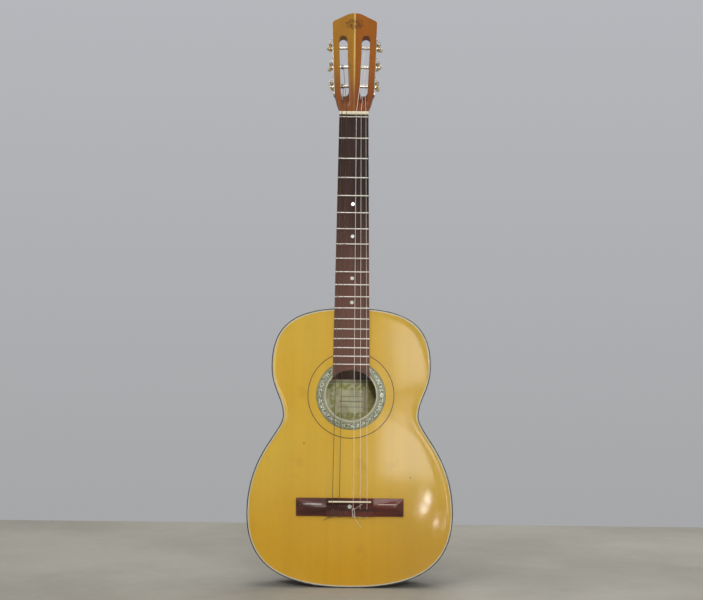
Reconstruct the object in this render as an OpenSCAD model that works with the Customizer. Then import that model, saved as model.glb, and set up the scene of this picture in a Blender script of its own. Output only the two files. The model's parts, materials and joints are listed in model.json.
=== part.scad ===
// Classical guitar with a slotted head, fan-braced top and worm-geared tuners.
// X runs from the bass side to the treble side, Y from the strings to the back, Z from the tail to the head.

/* [Body] */
// Length of the sound box
body_len = 474; // [440:1:500]
// Depth of the sound box, face to back
body_depth = 95; // [80:1:110]
// Half of the lower bout's width
lower_half = 175; // [160:1:190]
// Half of the waist's width
waist_half = 115; // [100:1:125]
// Half of the upper bout's width
upper_half = 135.2; // [120:0.2:145]
// Thickness of the soundboard and of the back
plate_t = 2.6; // [2:0.1:3.5]
// Thickness of the bent sides
side_t = 2.2; // [2:0.1:3]
// Diameter of the sound hole
hole_d = 86; // [82:1:90]

/* [Neck] */
// Open string length from the zero fret to the twelfth-fret double, without compensation
scale_len = 650; // [630:1:660]
// Width of the fingerboard at the nut
nut_w = 49.5; // [46:0.5:54]
// Width of the fingerboard at the twelfth fret
twelfth_w = 59; // [55:0.5:63]
// Thickness of the fingerboard
board_t = 5; // [4:0.5:7]
// Frets after the zero fret
fret_count = 18; // [12:1:18]
// Backward tilt of the head in degrees
head_tilt = 12; // [8:1:16]
// Length of the head along its face
head_len = 180; // [170:1:190]
// Thickness of the head
head_t = 20; // [18:0.5:22]

/* [Strings] */
// Height of the saddle's top over the soundboard
saddle_h = 12.5; // [11:0.5:13]
// Distance between neighbouring strings at the saddle
saddle_gap = 11.7; // [11:0.1:12]
// Distance between neighbouring strings at the nut
nut_gap = 8.15; // [7.8:0.05:8.6]

/* [Tuners] */
// Distance between neighbouring string posts
post_gap = 35; // [34:0.5:36]
// Diameter of a string post
post_d = 6; // [5:0.5:7]
// Teeth of a tuner gear
gear_teeth = 14; // [14:1:14]
// Tooth module of a tuner gear
gear_module = 0.8; // [0.8:0.1:0.8]

/* [Hidden] */
$fn = 48;
TREBLE = 1;
BASS = -1;

// Strings, numbered 1 (thinnest) to 6 (thickest); string 4 is broken off at its tie.
string_d = [0.72, 0.82, 1.02, 0.76, 0.9, 1.1];
whole_strings = [1, 2, 3, 5, 6];
BROKEN = 4;

// The soundboard's face, placed so that the box round the whole guitar is centred on Y.
front_proud = saddle_h + string_d[5];
y_top = (front_proud - body_depth) / 2;
plate_in = body_depth - plate_t;

// Body outline: heights of its widest and narrowest places, and the reach of each Bezier handle.
lower_z = 125;
waist_z = 290.5;
upper_z = 374.5;
tail_reach = 111;
lower_reach_down = 92.5;
lower_reach_up = 100;
waist_reach_down = 28;
waist_reach_up = 29;
upper_reach_down = 38.5;
upper_reach_up = 75.5;
shoulder_reach = 91;
outline_steps = 20;

// Edge strips
binding_w = 1.8;
binding_h = 4.5;
purfling_w = 1.9;
purfling_h = 1.6;
lining_w = 5;
lining_h = 13;

// Sound hole, rosette and bridge
hole_r = hole_d / 2;
hole_z = 326;
rosette_r = 59;
rosette_t = 1.2;
ring_r = 73;
ring_w = 1.3;
zero_z = body_len - 0.5 + scale_len / 2;
compensation = 2;
saddle_z = zero_z - scale_len - compensation;
bridge_w = 182;
bridge_l = 30.4;
bridge_z = saddle_z - 25.1;
block_w = 80;
tie_l = 12;
tie_h = 8;
valley_h = 3.2;
ridge_z = 20.5;
ridge_h = 8.5;
wing_edge_h = 3.4;
wing_ridge_h = 6.6;
wing_hip = 15;
saddle_w = 72;
saddle_t = 2.6;
saddle_slot_h = 4;
string_hole_h = 5;
string_hole_d = 1.8;
dot_z = bridge_z + 16.25;
dot_d = 7;

// Nut and frets
fret_r = 1.1;
fret_tang_w = 0.6;
fret_tang_h = 1.8;
nut_front = zero_z + 3.8;
nut_back = zero_z + 9.3;
nut_h = board_t + 3;
groove_h = board_t + 0.9;
board_slope = (twelfth_w - nut_w) / (scale_len / 2) / 2;
dot_frets = [5, 7, 10, 12];
position_dot_d = 6;

// Neck and heel
neck_d_nut = 16;
neck_d_body = 18.5;
heel_top = 4;
heel_end = body_depth - 3;
heel_half = 11.5;
tenon_l = 18;
tenon_in = 11;
tenon_out = 8;
tenon_end = 70;
strip_w = 3;
block_half = 36;
neck_block_l = 32;
tail_block_l = 16;

// Head, measured along its face from the nut
head_z = nut_back;
flare = 2.25;
flank_s = 33;
flank_half = 33.4;
corner_s = 160.5;
slot_half = 7;
ramp_half = slot_half - 0.15;
slot_mid_x = 16.7;
slot_mid_s = 55;
slot_low = 35;
slot_high = 138.5;
ramp_top = 11;
post_depth = 9;
post_s = 83.5;

// Tuners, in a frame on the head's side: X outwards, Y back, Z up the head
plate_thick = 1.2;
plate_half_w = 7;
plate_half_l = 55;
post_r = post_d / 2;
post_clear = 0.1;
rail_w = flank_half - slot_mid_x - slot_half + (slot_mid_s - flank_s) * tan(flare);
tip_l = 6.5;
post_in = rail_w + 2 * slot_half + tip_l;
gear_low = 3.1;
gear_t = 3;
gear_square = 3.6;
gear_tip_r = 6.05;
gear_root_r = 4.7;
worm_u = gear_low + gear_t / 2;
worm_v = 8;
worm_r = 2.38;
worm_off = 0.72;
worm_half_l = 4.5;
worm_pitch = PI * gear_module;
journal_r = 1.5;
journal_clear = 0.05;
lug_in = 5.5;
lug_half_w = 3;
button_start = 12.6;
button_r = 7.5;
button_mid = 23;
button_t = 6;
button_angles = [62, -35, 18, -20, 40, -65];
screw_v = [-50.5, -17.5, 17.5, 50.5];
screw_r = 1.2;

BODY_NODES = ["soundboard", "back", "side_bass", "side_treble", "top_binding", "top_purfling",
    "back_binding", "linings", "neck_block", "tail_block", "top_braces", "back_braces",
    "rosette", "rosette_ring", "label", "bridge", "saddle", "bridge_bolt", "bridge_dot"];
NECK_NODES = ["neck_bass", "neck_treble", "neck_strip", "heel_cap", "fingerboard", "frets",
    "position_dots", "nut", "tuner_plate_bass", "tuner_plate_treble", "plate_screws"];
STRING_NODES = ["string_1", "string_2", "string_3", "string_4", "string_5", "string_6"];
TUNER_NODES = ["worm_1", "worm_2", "worm_3", "worm_4", "worm_5", "worm_6",
    "button_1", "button_2", "button_3", "button_4", "button_5", "button_6",
    "gear_1", "gear_2", "gear_3", "gear_4", "gear_5", "gear_6",
    "post_1", "post_2", "post_3", "post_4", "post_5", "post_6"];

// ---------- helpers ----------

function unit(v) = v / norm(v);
function reverse(list) = [for (i = [len(list) - 1 : -1 : 0]) list[i]];
function bezier(p, t) = pow(1 - t, 3) * p[0] + 3 * pow(1 - t, 2) * t * p[1]
    + 3 * (1 - t) * t * t * p[2] + pow(t, 3) * p[3];
function bezier_way(p, t) = 3 * pow(1 - t, 2) * (p[1] - p[0]) + 6 * (1 - t) * t * (p[2] - p[1])
    + 3 * t * t * (p[3] - p[2]);

// Four cubic Beziers run up the treble side, from the tail's middle to the shoulder's middle.
outline_curves = [
    [[0, 0], [tail_reach, 0], [lower_half, lower_z - lower_reach_down], [lower_half, lower_z]],
    [[lower_half, lower_z], [lower_half, lower_z + lower_reach_up],
        [waist_half, waist_z - waist_reach_down], [waist_half, waist_z]],
    [[waist_half, waist_z], [waist_half, waist_z + waist_reach_up],
        [upper_half, upper_z - upper_reach_down], [upper_half, upper_z]],
    [[upper_half, upper_z], [upper_half, upper_z + upper_reach_up],
        [shoulder_reach, body_len], [0, body_len]]
];

function outline_point(curve, t, inset) =
    let (way = unit(bezier_way(curve, t)))
    bezier(curve, t) + inset * [-way[1], way[0]];

// Half of the body's outline, moved inwards by inset.
function half_outline(inset) = concat(
    [for (c = outline_curves, i = [0 : outline_steps - 1]) outline_point(c, i / outline_steps, inset)],
    [[0, body_len - inset]]);

function whole_outline(inset) =
    let (half = half_outline(inset), n = len(half))
    concat(half, [for (i = [n - 2 : -1 : 1]) [-half[i][0], half[i][1]]]);

module outline(inset) {
    polygon(whole_outline(inset));
}

module outline_ring(outer, inner) {
    a = whole_outline(outer);
    b = whole_outline(inner);
    polygon(concat(a, b), paths = [[for (i = [0 : len(a) - 1]) i], [for (i = [0 : len(b) - 1]) len(a) + i]]);
}

module half_ring(side, outer, inner) {
    scale([side, 1])
        polygon(concat(half_outline(outer), reverse(half_outline(inner))));
}

// Extrudes a drawing in X and Z between two depths behind the soundboard's face.
module slab(front, behind) {
    translate([0, y_top + behind, 0])
        rotate([90, 0, 0])
            linear_extrude(behind - front)
                children();
}

// Extrudes a drawing of [height over the soundboard, Z] across X.
module across(width) {
    translate([-width / 2, y_top, 0])
        rotate([90, 0, 90])
            linear_extrude(width)
                scale([-1, 1])
                    children();
}

// A round bar through a list of points, its section carried along without twisting.
function way_along(way, i) = unit(way[min(i + 1, len(way) - 1)] - way[max(i - 1, 0)]);
function carried(a, t) = unit(a - (a * t) * t);
function carried_list(way, i, a) = i >= len(way) ? []
    : let (b = carried(a, way_along(way, i))) concat([b], carried_list(way, i + 1, b));

module tube(way, r, sides = 8) {
    across_way = carried_list(way, 0, [0.31, 0.2, 0.93]);
    skin([for (i = [0 : len(way) - 1])
        let (a = across_way[i], b = cross(way_along(way, i), a))
        [for (k = [0 : sides - 1])
            way[i] + r * (cos(360 * k / sides) * a + sin(360 * k / sides) * b)]]);
}

// A closed skin over sections of equal point counts.
module skin(sections) {
    n = len(sections);
    m = len(sections[0]);
    walls = [for (i = [0 : n - 2], k = [0 : m - 1])
        let (p = i * m + k, q = i * m + (k + 1) % m)
        each [[p, p + m, q], [q, p + m, q + m]]];
    near = [for (k = [0 : m - 1]) k];
    far = [for (k = [m - 1 : -1 : 0]) (n - 1) * m + k];
    polyhedron([for (s = sections) each s], concat(walls, [near, far]));
}

// ---------- sound box ----------

module soundboard() {
    color("goldenrod")
        difference() {
            slab(0, plate_t) outline(binding_w);
            slab(-1, purfling_h) outline_ring(-1, binding_w + purfling_w);
            slab(-1, rosette_t) translate([0, hole_z]) circle(rosette_r, $fn = 96);
            slab(-1, plate_t + 1) translate([0, hole_z]) circle(hole_r, $fn = 96);
            slab(-1, rosette_t) ring_drawing(ring_r, ring_w);
            slab(-1, plate_t + 1) translate([0, dot_z]) circle(1.8);
        }
}

module ring_drawing(r, w) {
    translate([0, hole_z])
        difference() {
            circle(r + w / 2, $fn = 96);
            circle(r - w / 2, $fn = 96);
        }
}

module back() {
    color("sienna")
        slab(plate_in, body_depth) outline(binding_w);
}

// One bent side, rebated at both edges for the bindings and cut away for the neck's tenon.
module side_rib(side) {
    color("sienna")
        difference() {
            union() {
                slab(binding_h, body_depth - binding_h) half_ring(side, 0, side_t);
                slab(plate_t, binding_h) half_ring(side, binding_w, side_t);
                slab(body_depth - binding_h, plate_in) half_ring(side, binding_w, side_t);
            }
            tenon();
        }
}

module top_binding() {
    color("black")
        slab(0, binding_h) outline_ring(0, binding_w);
}

module top_purfling() {
    color("ivory")
        slab(0, purfling_h) outline_ring(binding_w, binding_w + purfling_w);
}

module back_binding() {
    color("black")
        slab(body_depth - binding_h, body_depth) outline_ring(0, binding_w);
}

module end_blocks_drawing() {
    translate([-block_half, body_len - neck_block_l]) square([2 * block_half, 2 * neck_block_l]);
    translate([-block_half, -tail_block_l]) square([2 * block_half, 2 * tail_block_l]);
}

module lining_drawing() {
    difference() {
        outline_ring(side_t, side_t + lining_w);
        end_blocks_drawing();
    }
}

module linings() {
    color("burlywood") {
        slab(plate_t, plate_t + lining_h) lining_drawing();
        slab(plate_in - lining_h, plate_in) lining_drawing();
    }
}

module neck_block() {
    color("burlywood")
        difference() {
            slab(plate_t, plate_in)
                intersection() {
                    outline(side_t);
                    translate([-block_half, body_len - neck_block_l])
                        square([2 * block_half, neck_block_l]);
                }
            tenon();
        }
}

module tail_block() {
    color("burlywood")
        slab(plate_t, plate_in)
            intersection() {
                outline(side_t);
                translate([-block_half, 0]) square([2 * block_half, tail_block_l]);
            }
}

// A bar across the inside, between the linings: [height of its middle, half length].
module cross_bar(z, half, front, behind, width) {
    slab(front, behind)
        translate([-half, z - width / 2])
            square([2 * half, width]);
}

module top_braces() {
    color("wheat") {
        cross_bar(398, 121, plate_t, plate_t + 16, 8);
        cross_bar(272, 106, plate_t, plate_t + 16, 8);
        for (side = [BASS, TREBLE], fan = [[14, 1.5], [43, 5], [72, 9]])
            slab(plate_t, plate_t + 5)
                translate([side * fan[0], dot_z])
                    rotate(side * fan[1])
                        translate([-3, -86]) square([6, 190]);
    }
}

module back_braces() {
    color("wheat")
        for (bar = [[368, 124], [235, 123], [110, 160]])
            cross_bar(bar[0], bar[1], plate_in - 14, plate_in, 8);
}

module label() {
    color("beige")
        slab(plate_in - 0.3, plate_in)
            translate([-46, 273]) square([92, 76]);
}

module rosette() {
    color("darkseagreen")
        slab(0, rosette_t)
            translate([0, hole_z])
                difference() {
                    circle(rosette_r, $fn = 96);
                    circle(hole_r, $fn = 96);
                }
}

module rosette_ring() {
    color("black")
        slab(0, rosette_t) ring_drawing(ring_r, ring_w);
}

// ---------- bridge ----------

// A wing rises from thin edges to a ridge along its middle, with a hip at its outer end.
module bridge_wing(side) {
    inner = side * (block_w / 2 - 0.5);
    outer = side * bridge_w / 2;
    hip = side * (bridge_w / 2 - wing_hip);
    z_mid = bridge_z + bridge_l / 2;
    rim = [for (x = [inner, outer], z = [bridge_z, bridge_z + bridge_l]) [x, z]];
    hull()
        polyhedron(
            [for (p = rim) each [[p[0], y_top, p[1]], [p[0], y_top - wing_edge_h, p[1]]],
             [inner, y_top - wing_ridge_h, z_mid], [hip, y_top - wing_ridge_h, z_mid]],
            [[0, 1, 3, 2], [4, 6, 7, 5], [0, 4, 5, 1], [2, 3, 7, 6], [0, 2, 6, 4],
             [1, 5, 9, 8], [3, 8, 9, 7], [5, 7, 9], [1, 8, 3]]);
}

module bridge() {
    color("#4a1f18")
        difference() {
            union() {
                for (side = [BASS, TREBLE])
                    bridge_wing(side);
                across(block_w)
                    translate([0, bridge_z])
                        polygon([[0, 0], [tie_h - 1.2, 0], [tie_h, 1.2], [tie_h, tie_l - 1],
                            [tie_h - 1, tie_l], [valley_h, tie_l], [valley_h, ridge_z],
                            [ridge_h - 1.5, ridge_z], [ridge_h, ridge_z + 2.5],
                            [ridge_h, bridge_l - 2], [ridge_h - 3, bridge_l], [0, bridge_l]]);
            }
            across(saddle_w)
                translate([saddle_slot_h, saddle_z - saddle_t / 2])
                    square([20, saddle_t]);
            for (i = [1 : 6])
                translate([saddle_x(i), y_top - string_hole_h, bridge_z - 1])
                    cylinder(d = string_hole_d, h = tie_l + 2);
            into_bridge(0, -1) cylinder(r = 1.8, h = 9);
            into_bridge(valley_h - 1.2, 0) cylinder(d = dot_d, h = 9);
            into_bridge(0.6, 0) cylinder(r = 3.1, h = 9);
        }
}

// A frame on the bridge's middle dot, pointing out of the soundboard.
module into_bridge(height, extra) {
    translate([0, y_top - height - extra, dot_z])
        rotate([90, 0, 0])
            children();
}

module saddle() {
    color("ivory")
        across(saddle_w)
            polygon([[saddle_slot_h, saddle_z - saddle_t / 2], [saddle_slot_h, saddle_z + saddle_t / 2],
                [saddle_h - 0.6, saddle_z + saddle_t / 2], [saddle_h, saddle_z + 0.5],
                [saddle_h, saddle_z - 0.5], [saddle_h - 0.6, saddle_z - saddle_t / 2]]);
}

// The bolt under the bridge's dot, with its washer and nut inside the box.
module bridge_bolt() {
    color("silver")
        difference() {
            union() {
                into_bridge(0.6, 0) cylinder(r = 3.05, h = valley_h - 1.2 - 0.6);
                into_bridge(-plate_t - 5, 0) cylinder(r = 1.75, h = plate_t + 5.7);
                into_bridge(-plate_t - 1, 0) cylinder(r = 5, h = 1);
                into_bridge(-plate_t - 3.6, 0) cylinder(r = 3.6, h = 2.7, $fn = 6);
            }
            into_bridge(valley_h - 1.8, 0) translate([-3, -0.4, 0]) cube([6, 0.8, 2]);
        }
}

module bridge_dot() {
    color("ghostwhite")
        into_bridge(valley_h - 1.2, 0)
            union() {
                cylinder(d = dot_d, h = 1.2);
                cylinder(d1 = dot_d, d2 = dot_d - 2, h = 1.7);
            }
}

// ---------- neck ----------

function board_half(z) = nut_w / 2 + (zero_z - z) * board_slope;

// The dovetail that joins the neck to its block.
module tenon() {
    slab(binding_h, tenon_end)
        polygon([[-tenon_out, body_len + 2], [-tenon_out, body_len - side_t],
            [-tenon_in, body_len - tenon_l], [tenon_in, body_len - tenon_l],
            [tenon_out, body_len - side_t], [tenon_out, body_len + 2]]);
}

// Round-backed section of the neck's shaft at height z.
function shaft_section(z, half, depth) = concat(
    [for (a = [0 : 6 : 180]) [half * cos(a), y_top + depth * pow(sin(a), 0.85), z]]);

function heel_width(y) = heel_half + (nut_w / 2 + 5 - heel_half) * pow((heel_end - y) / (heel_end - heel_top), 1.5);
function heel_reach(y) = 16 + 64 * exp(-(y - heel_top) / 13);

// U-shaped section of the heel at depth y, starting inside the body so that the sides trim it.
function heel_section(y) = concat(
    [for (a = [0 : 7.5 : 180])
        [heel_width(y) * cos(a), y_top + y, body_len - 4 + (heel_reach(y) + 4) * sin(a)]],
    [[-heel_width(y), y_top + y, body_len - 10], [heel_width(y), y_top + y, body_len - 10]]);

heel_levels = [heel_top, 6, 8, 10.5, 13, 16, 19.5, 23.5, 28, 33, 39, 46, 55, 67, 79, heel_end];

module heel() {
    skin([for (y = reverse(heel_levels)) heel_section(y)]);
}

module in_head() {
    translate([0, y_top, head_z])
        rotate([-head_tilt, 0, 0])
            children();
}

// The head's outline over its face, from the nut up.
function head_half() =
    let (corner_x = flank_half + (corner_s - flank_s) * tan(flare))
    concat(
        [[nut_w / 2, -1], [nut_w / 2, 1], [25.4, 6], [27.6, 12], [29.6, 18], [31.2, 25], [flank_half, flank_s]],
        [for (a = [0 : 15 : 60]) [corner_x - 6 + 6 * cos(a), corner_s + 6 * sin(a)]],
        [for (x = [18, 12, 6]) [x, head_len - 0.0155 * x * x - (x > 15 ? 0.3 : 0)]]);

module head_face() {
    half = head_half();
    n = len(half);
    polygon(concat(half, [[0, head_len]], [for (i = [n - 1 : -1 : 0]) [-half[i][0], half[i][1]]]));
}

module head() {
    in_head()
        intersection() {
            translate([0, head_t, 0])
                rotate([90, 0, 0])
                    linear_extrude(head_t) head_face();
            translate([-60, 0, 0])
                rotate([90, 0, 90])
                    linear_extrude(120)
                        polygon([[0, 0], [0.3, -1], [13, -1], [14.6, 3], [16.4, 8], [18.4, 15], [19.6, 22],
                            [head_t, 30], [head_t, 200], [0, 200]]);
        }
}

// A frame on one side face of the head, level with the middle post: X outwards, Z along the face.
module on_flank(side) {
    in_head()
        scale([side, 1, 1])
            translate([flank_half + (post_s - flank_s) * tan(flare), post_depth, post_s])
                rotate([0, flare, 0])
                    children();
}

module head_slot(side) {
    in_head()
        scale([side, 1, 1])
            translate([slot_mid_x, 0, slot_mid_s])
                rotate([0, flare, 0]) {
                    low = slot_low + slot_half - slot_mid_s;
                    high = slot_high - slot_half - slot_mid_s;
                    for (v = [low, high])
                        translate([0, -1, v])
                            rotate([-90, 0, 0]) cylinder(r = slot_half, h = head_t + 2);
                    translate([-slot_half, -1, low]) cube([2 * slot_half, head_t + 2, high - low]);
                    ramp = atan2(slot_low - ramp_top, head_t);
                    translate([0, 0, ramp_top - slot_mid_s])
                        rotate([-90 + ramp, 0, 0])
                            translate([0, -ramp_half, -20])
                                linear_extrude(20 + head_t / cos(ramp) + 1) {
                                    circle(r = ramp_half);
                                    translate([-ramp_half, -30]) square([2 * ramp_half, 30]);
                                }
                }
}

module post_bores(side) {
    on_flank(side) {
        for (v = [-post_gap, 0, post_gap])
            translate([-post_in - 0.5, 0, v])
                rotate([0, 90, 0])
                    cylinder(r = post_r + post_clear, h = post_in + 2);
        for (v = screw_v)
            translate([-10, 0, v])
                rotate([0, 90, 0])
                    cylinder(r = screw_r, h = 12);
    }
}

module neck_side(side) {
    color("peru")
        difference() {
            union() {
                intersection() {
                    union() {
                        skin([shaft_section(body_len - 12, board_half(body_len - 12), neck_d_body),
                            shaft_section(head_z, nut_w / 2, neck_d_nut)]);
                        heel();
                        head();
                    }
                    lamination_half(side);
                }
            }
            slab(-1, body_depth + 1) outline(0);
            head_slot(side);
            post_bores(side);
        }
    color("peru")
        intersection() {
            tenon();
            lamination_half(side);
        }
}

// Everything on one side of the middle strip.
module lamination_half(side) {
    translate([side > 0 ? strip_w / 2 : -100 - strip_w / 2, -100, 400])
        cube([100, 250, 700]);
}

module neck_bass() {
    neck_side(BASS);
}

module neck_treble() {
    neck_side(TREBLE);
}

// The pale strip down the middle of the neck, from the heel to the head's tip.
module neck_strip() {
    color("khaki") {
        difference() {
            intersection() {
                union() {
                    skin([shaft_section(body_len - 12, board_half(body_len - 12), neck_d_body),
                        shaft_section(head_z, nut_w / 2, neck_d_nut)]);
                    heel();
                    head();
                }
                middle_strip();
            }
            slab(-1, body_depth + 1) outline(0);
        }
        intersection() {
            tenon();
            middle_strip();
        }
    }
}

module middle_strip() {
    translate([-strip_w / 2, -100, 400]) cube([strip_w, 250, 700]);
}

module heel_cap() {
    color("black")
        difference() {
            slab(heel_end, heel_end + 2.2)
                polygon(concat([for (p = heel_section(heel_end)) [p[0], p[2]]]));
            slab(-1, body_depth + 1) outline(0);
        }
}

module board_drawing(low, high) {
    polygon([[-board_half(low), low], [board_half(low), low], [board_half(high), high], [-board_half(high), high]]);
}

module fingerboard() {
    color("#3a2a26")
        difference() {
            slab(-board_t, 0)
                difference() {
                    board_drawing(zero_z - 444, nut_front);
                    translate([0, hole_z]) circle(hole_r + 0.5, $fn = 96);
                }
            for (n = [0 : fret_count])
                translate([-50, y_top - board_t, fret_z(n)])
                    translate([0, -1, -fret_tang_w / 2]) cube([100, fret_tang_h + 1, fret_tang_w]);
            for (n = dot_frets)
                slab(-board_t - 1, -board_t + 1.2)
                    translate([0, (fret_z(n) + fret_z(n - 1)) / 2]) circle(d = position_dot_d);
        }
}

function fret_z(n) = zero_z - scale_len * (1 - pow(2, -n / 12));

// Each fret wire is a low round crown with a tang pressed into its slot.
module frets() {
    color("silver")
        for (n = [0 : fret_count]) {
            half = board_half(fret_z(n)) - 0.4;
            translate([0, y_top, fret_z(n)])
                difference() {
                    union() {
                        translate([-half, -board_t, 0])
                            rotate([0, 90, 0]) cylinder(r = fret_r, h = 2 * half, $fn = 24);
                        translate([-half, -board_t, -fret_tang_w / 2])
                            cube([2 * half, fret_tang_h, fret_tang_w]);
                    }
                    for (z = [fret_tang_w / 2, -fret_tang_w / 2 - 2])
                        translate([-half - 1, -board_t, z]) cube([2 * half + 2, 3, 2]);
                }
        }
}

module position_dots() {
    color("ghostwhite")
        for (n = dot_frets)
            slab(-board_t, -board_t + 1.2)
                translate([0, (fret_z(n) + fret_z(n - 1)) / 2]) circle(d = position_dot_d);
}

module nut() {
    color("ivory")
        difference() {
            across(nut_w)
                polygon([[0, nut_front], [nut_h - 0.8, nut_front], [nut_h, nut_front + 1],
                    [nut_h, nut_back - 2], [nut_h - 1.6, nut_back], [0, nut_back]]);
            for (i = [1 : 6])
                translate([nut_x(i) - string_d[i - 1] / 2 - 0.08, y_top - 20, nut_front - 1])
                    cube([string_d[i - 1] + 0.16, 20 - groove_h, nut_back - nut_front + 2]);
        }
}

// ---------- tuners ----------

module tuner_plate(side) {
    color("silver")
        on_flank(side) {
            difference() {
                union() {
                    translate([0, -plate_half_w, -plate_half_l + plate_half_w])
                        cube([plate_thick, 2 * plate_half_w, 2 * (plate_half_l - plate_half_w)]);
                    for (v = [-plate_half_l + plate_half_w, plate_half_l - plate_half_w])
                        translate([0, 0, v])
                            rotate([0, 90, 0]) cylinder(r = plate_half_w, h = plate_thick);
                    for (v = [-post_gap, 0, post_gap], w = [-plate_half_w, lug_in])
                        translate([0, w, v + worm_v - lug_half_w]) {
                            cube([worm_u, plate_half_w - lug_in, 2 * lug_half_w]);
                            translate([worm_u, 0, lug_half_w])
                                rotate([-90, 0, 0]) cylinder(r = lug_half_w, h = plate_half_w - lug_in);
                        }
                }
                for (v = [-post_gap, 0, post_gap]) {
                    translate([-1, 0, v])
                        rotate([0, 90, 0]) cylinder(r = post_r + post_clear, h = plate_thick + 2);
                    translate([worm_u, -plate_half_w - 1, v + worm_v])
                        rotate([-90, 0, 0])
                            cylinder(r = journal_r + journal_clear, h = 2 * plate_half_w + 2);
                }
                for (v = screw_v)
                    translate([-1, 0, v])
                        rotate([0, 90, 0]) cylinder(r = screw_r + 0.1, h = plate_thick + 2);
            }
        }
}

module tuner_plate_bass() {
    tuner_plate(BASS);
}

module tuner_plate_treble() {
    tuner_plate(TREBLE);
}

module plate_screws() {
    color("gainsboro")
        for (side = [BASS, TREBLE], v = screw_v)
            on_flank(side)
                translate([0, 0, v])
                    rotate([0, 90, 0])
                        difference() {
                            union() {
                                translate([0, 0, -7]) cylinder(r = screw_r - 0.05, h = 7 + plate_thick + 0.2);
                                translate([0, 0, plate_thick])
                                    cylinder(r1 = 2.4, r2 = 1.6, h = 1.1);
                            }
                            translate([-3, -0.3, plate_thick + 0.6]) cube([6, 0.6, 2]);
                        }
}

// Strings 1 to 3 wind on the treble side and 6 to 4 on the bass side, lowest post first.
function side_of(i) = i <= 3 ? TREBLE : BASS;
function step_of(i) = i <= 3 ? i - 2 : 5 - i;
function post_v(i) = step_of(i) * post_gap;

module on_post(i) {
    on_flank(side_of(i))
        translate([0, 0, post_v(i)])
            children();
}

// The thread is a round bar set off its axis and twisted along it.
module worm(i) {
    color("silver")
        on_post(i)
            translate([worm_u, 0, worm_v])
                rotate([-90, 0, 0]) {
                    translate([0, 0, -worm_half_l])
                        linear_extrude(2 * worm_half_l, twist = -360 * 2 * worm_half_l / worm_pitch,
                                slices = 43, $fn = 14)
                            rotate(90 - 360 * worm_half_l / worm_pitch)
                                translate([worm_off, 0]) circle(worm_r, $fn = 14);
                    for (end = [-1, 1])
                        scale([1, 1, end])
                            translate([0, 0, worm_half_l]) cylinder(r = journal_r, h = plate_half_w - worm_half_l + 0.1);
                    translate([0, 0, -plate_half_w - 1.1]) cylinder(r = 2.2, h = 1.05);
                    translate([0, 0, plate_half_w + 0.05]) cylinder(r = 2.6, h = 1.6);
                    translate([0, 0, plate_half_w + 0.05]) cylinder(r = journal_r, h = button_mid - plate_half_w);
                }
}

// The button is a turned bulb with two flats, set at its own resting angle.
module button(i) {
    color("oldlace")
        on_post(i)
            translate([worm_u, 0, worm_v])
                rotate([0, button_angles[i - 1], 0])
                    difference() {
                        intersection() {
                            rotate([-90, 0, 0])
                                rotate_extrude()
                                    polygon([[0, button_start], [3.2, button_start], [3.4, button_start + 1.5],
                                        [5.4, button_mid - 6], [7, button_mid - 3.4], [button_r, button_mid],
                                        [7.2, button_mid + 3.2], [5.8, button_mid + 6], [3.6, button_mid + 7.6],
                                        [0, button_mid + 8.2]]);
                            translate([-9, button_start - 1, -button_t / 2]) cube([18, 30, button_t]);
                        }
                        rotate([-90, 0, 0]) cylinder(r = journal_r + 0.05, h = button_mid + 0.2);
                    }
}

// Straight teeth, thin enough to clear the worm's slanted thread.
function gear_points() = [for (k = [0 : gear_teeth - 1])
    for (p = [[gear_root_r, -0.95], [gear_root_r, -0.5], [gear_tip_r, -0.22],
            [gear_tip_r, 0.22], [gear_root_r, 0.5], [gear_root_r, 0.95]])
        let (a = 360 * (k + 0.5) / gear_teeth)
        [p[0] * cos(a) - p[1] * sin(a), p[0] * sin(a) + p[1] * cos(a)]];

module gear(i) {
    color("darkgoldenrod")
        on_post(i)
            translate([gear_low, 0, 0])
                rotate([0, 90, 0])
                    linear_extrude(gear_t)
                        difference() {
                            rotate(180) polygon(gear_points());
                            square(gear_square + 0.06, center = true);
                        }
}

module post(i) {
    color("silver")
        on_post(i)
            rotate([0, 90, 0])
                difference() {
                    union() {
                        translate([0, 0, -post_in]) cylinder(r = post_r, h = post_in + plate_thick + 0.2);
                        translate([0, 0, plate_thick + 0.15]) cylinder(r = 4.2, h = gear_low - plate_thick - 0.2);
                        translate([-gear_square / 2, -gear_square / 2, gear_low - 0.1])
                            cube([gear_square, gear_square, gear_t + 0.2]);
                        translate([0, 0, gear_low + gear_t + 0.05]) cylinder(r = 2.7, h = 1.1);
                    }
                    translate([-4, -0.35, gear_low + gear_t + 0.75]) cube([8, 0.7, 2]);
                    translate([0, 0, -rail_w - slot_half - 4.5])
                        rotate([0, 90, 0]) cylinder(r = 0.8, h = 10, center = true, $fn = 24);
                }
}

module worm_1() { worm(1); }
module worm_2() { worm(2); }
module worm_3() { worm(3); }
module worm_4() { worm(4); }
module worm_5() { worm(5); }
module worm_6() { worm(6); }
module button_1() { button(1); }
module button_2() { button(2); }
module button_3() { button(3); }
module button_4() { button(4); }
module button_5() { button(5); }
module button_6() { button(6); }
module gear_1() { gear(1); }
module gear_2() { gear(2); }
module gear_3() { gear(3); }
module gear_4() { gear(4); }
module gear_5() { gear(5); }
module gear_6() { gear(6); }
module post_1() { post(1); }
module post_2() { post(2); }
module post_3() { post(3); }
module post_4() { post(4); }
module post_5() { post(5); }
module post_6() { post(6); }

// ---------- strings ----------

function saddle_x(i) = (3.5 - i) * saddle_gap;
function nut_x(i) = (3.5 - i) * nut_gap;
function at(x, height, z) = [x, y_top - height, z];

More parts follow.
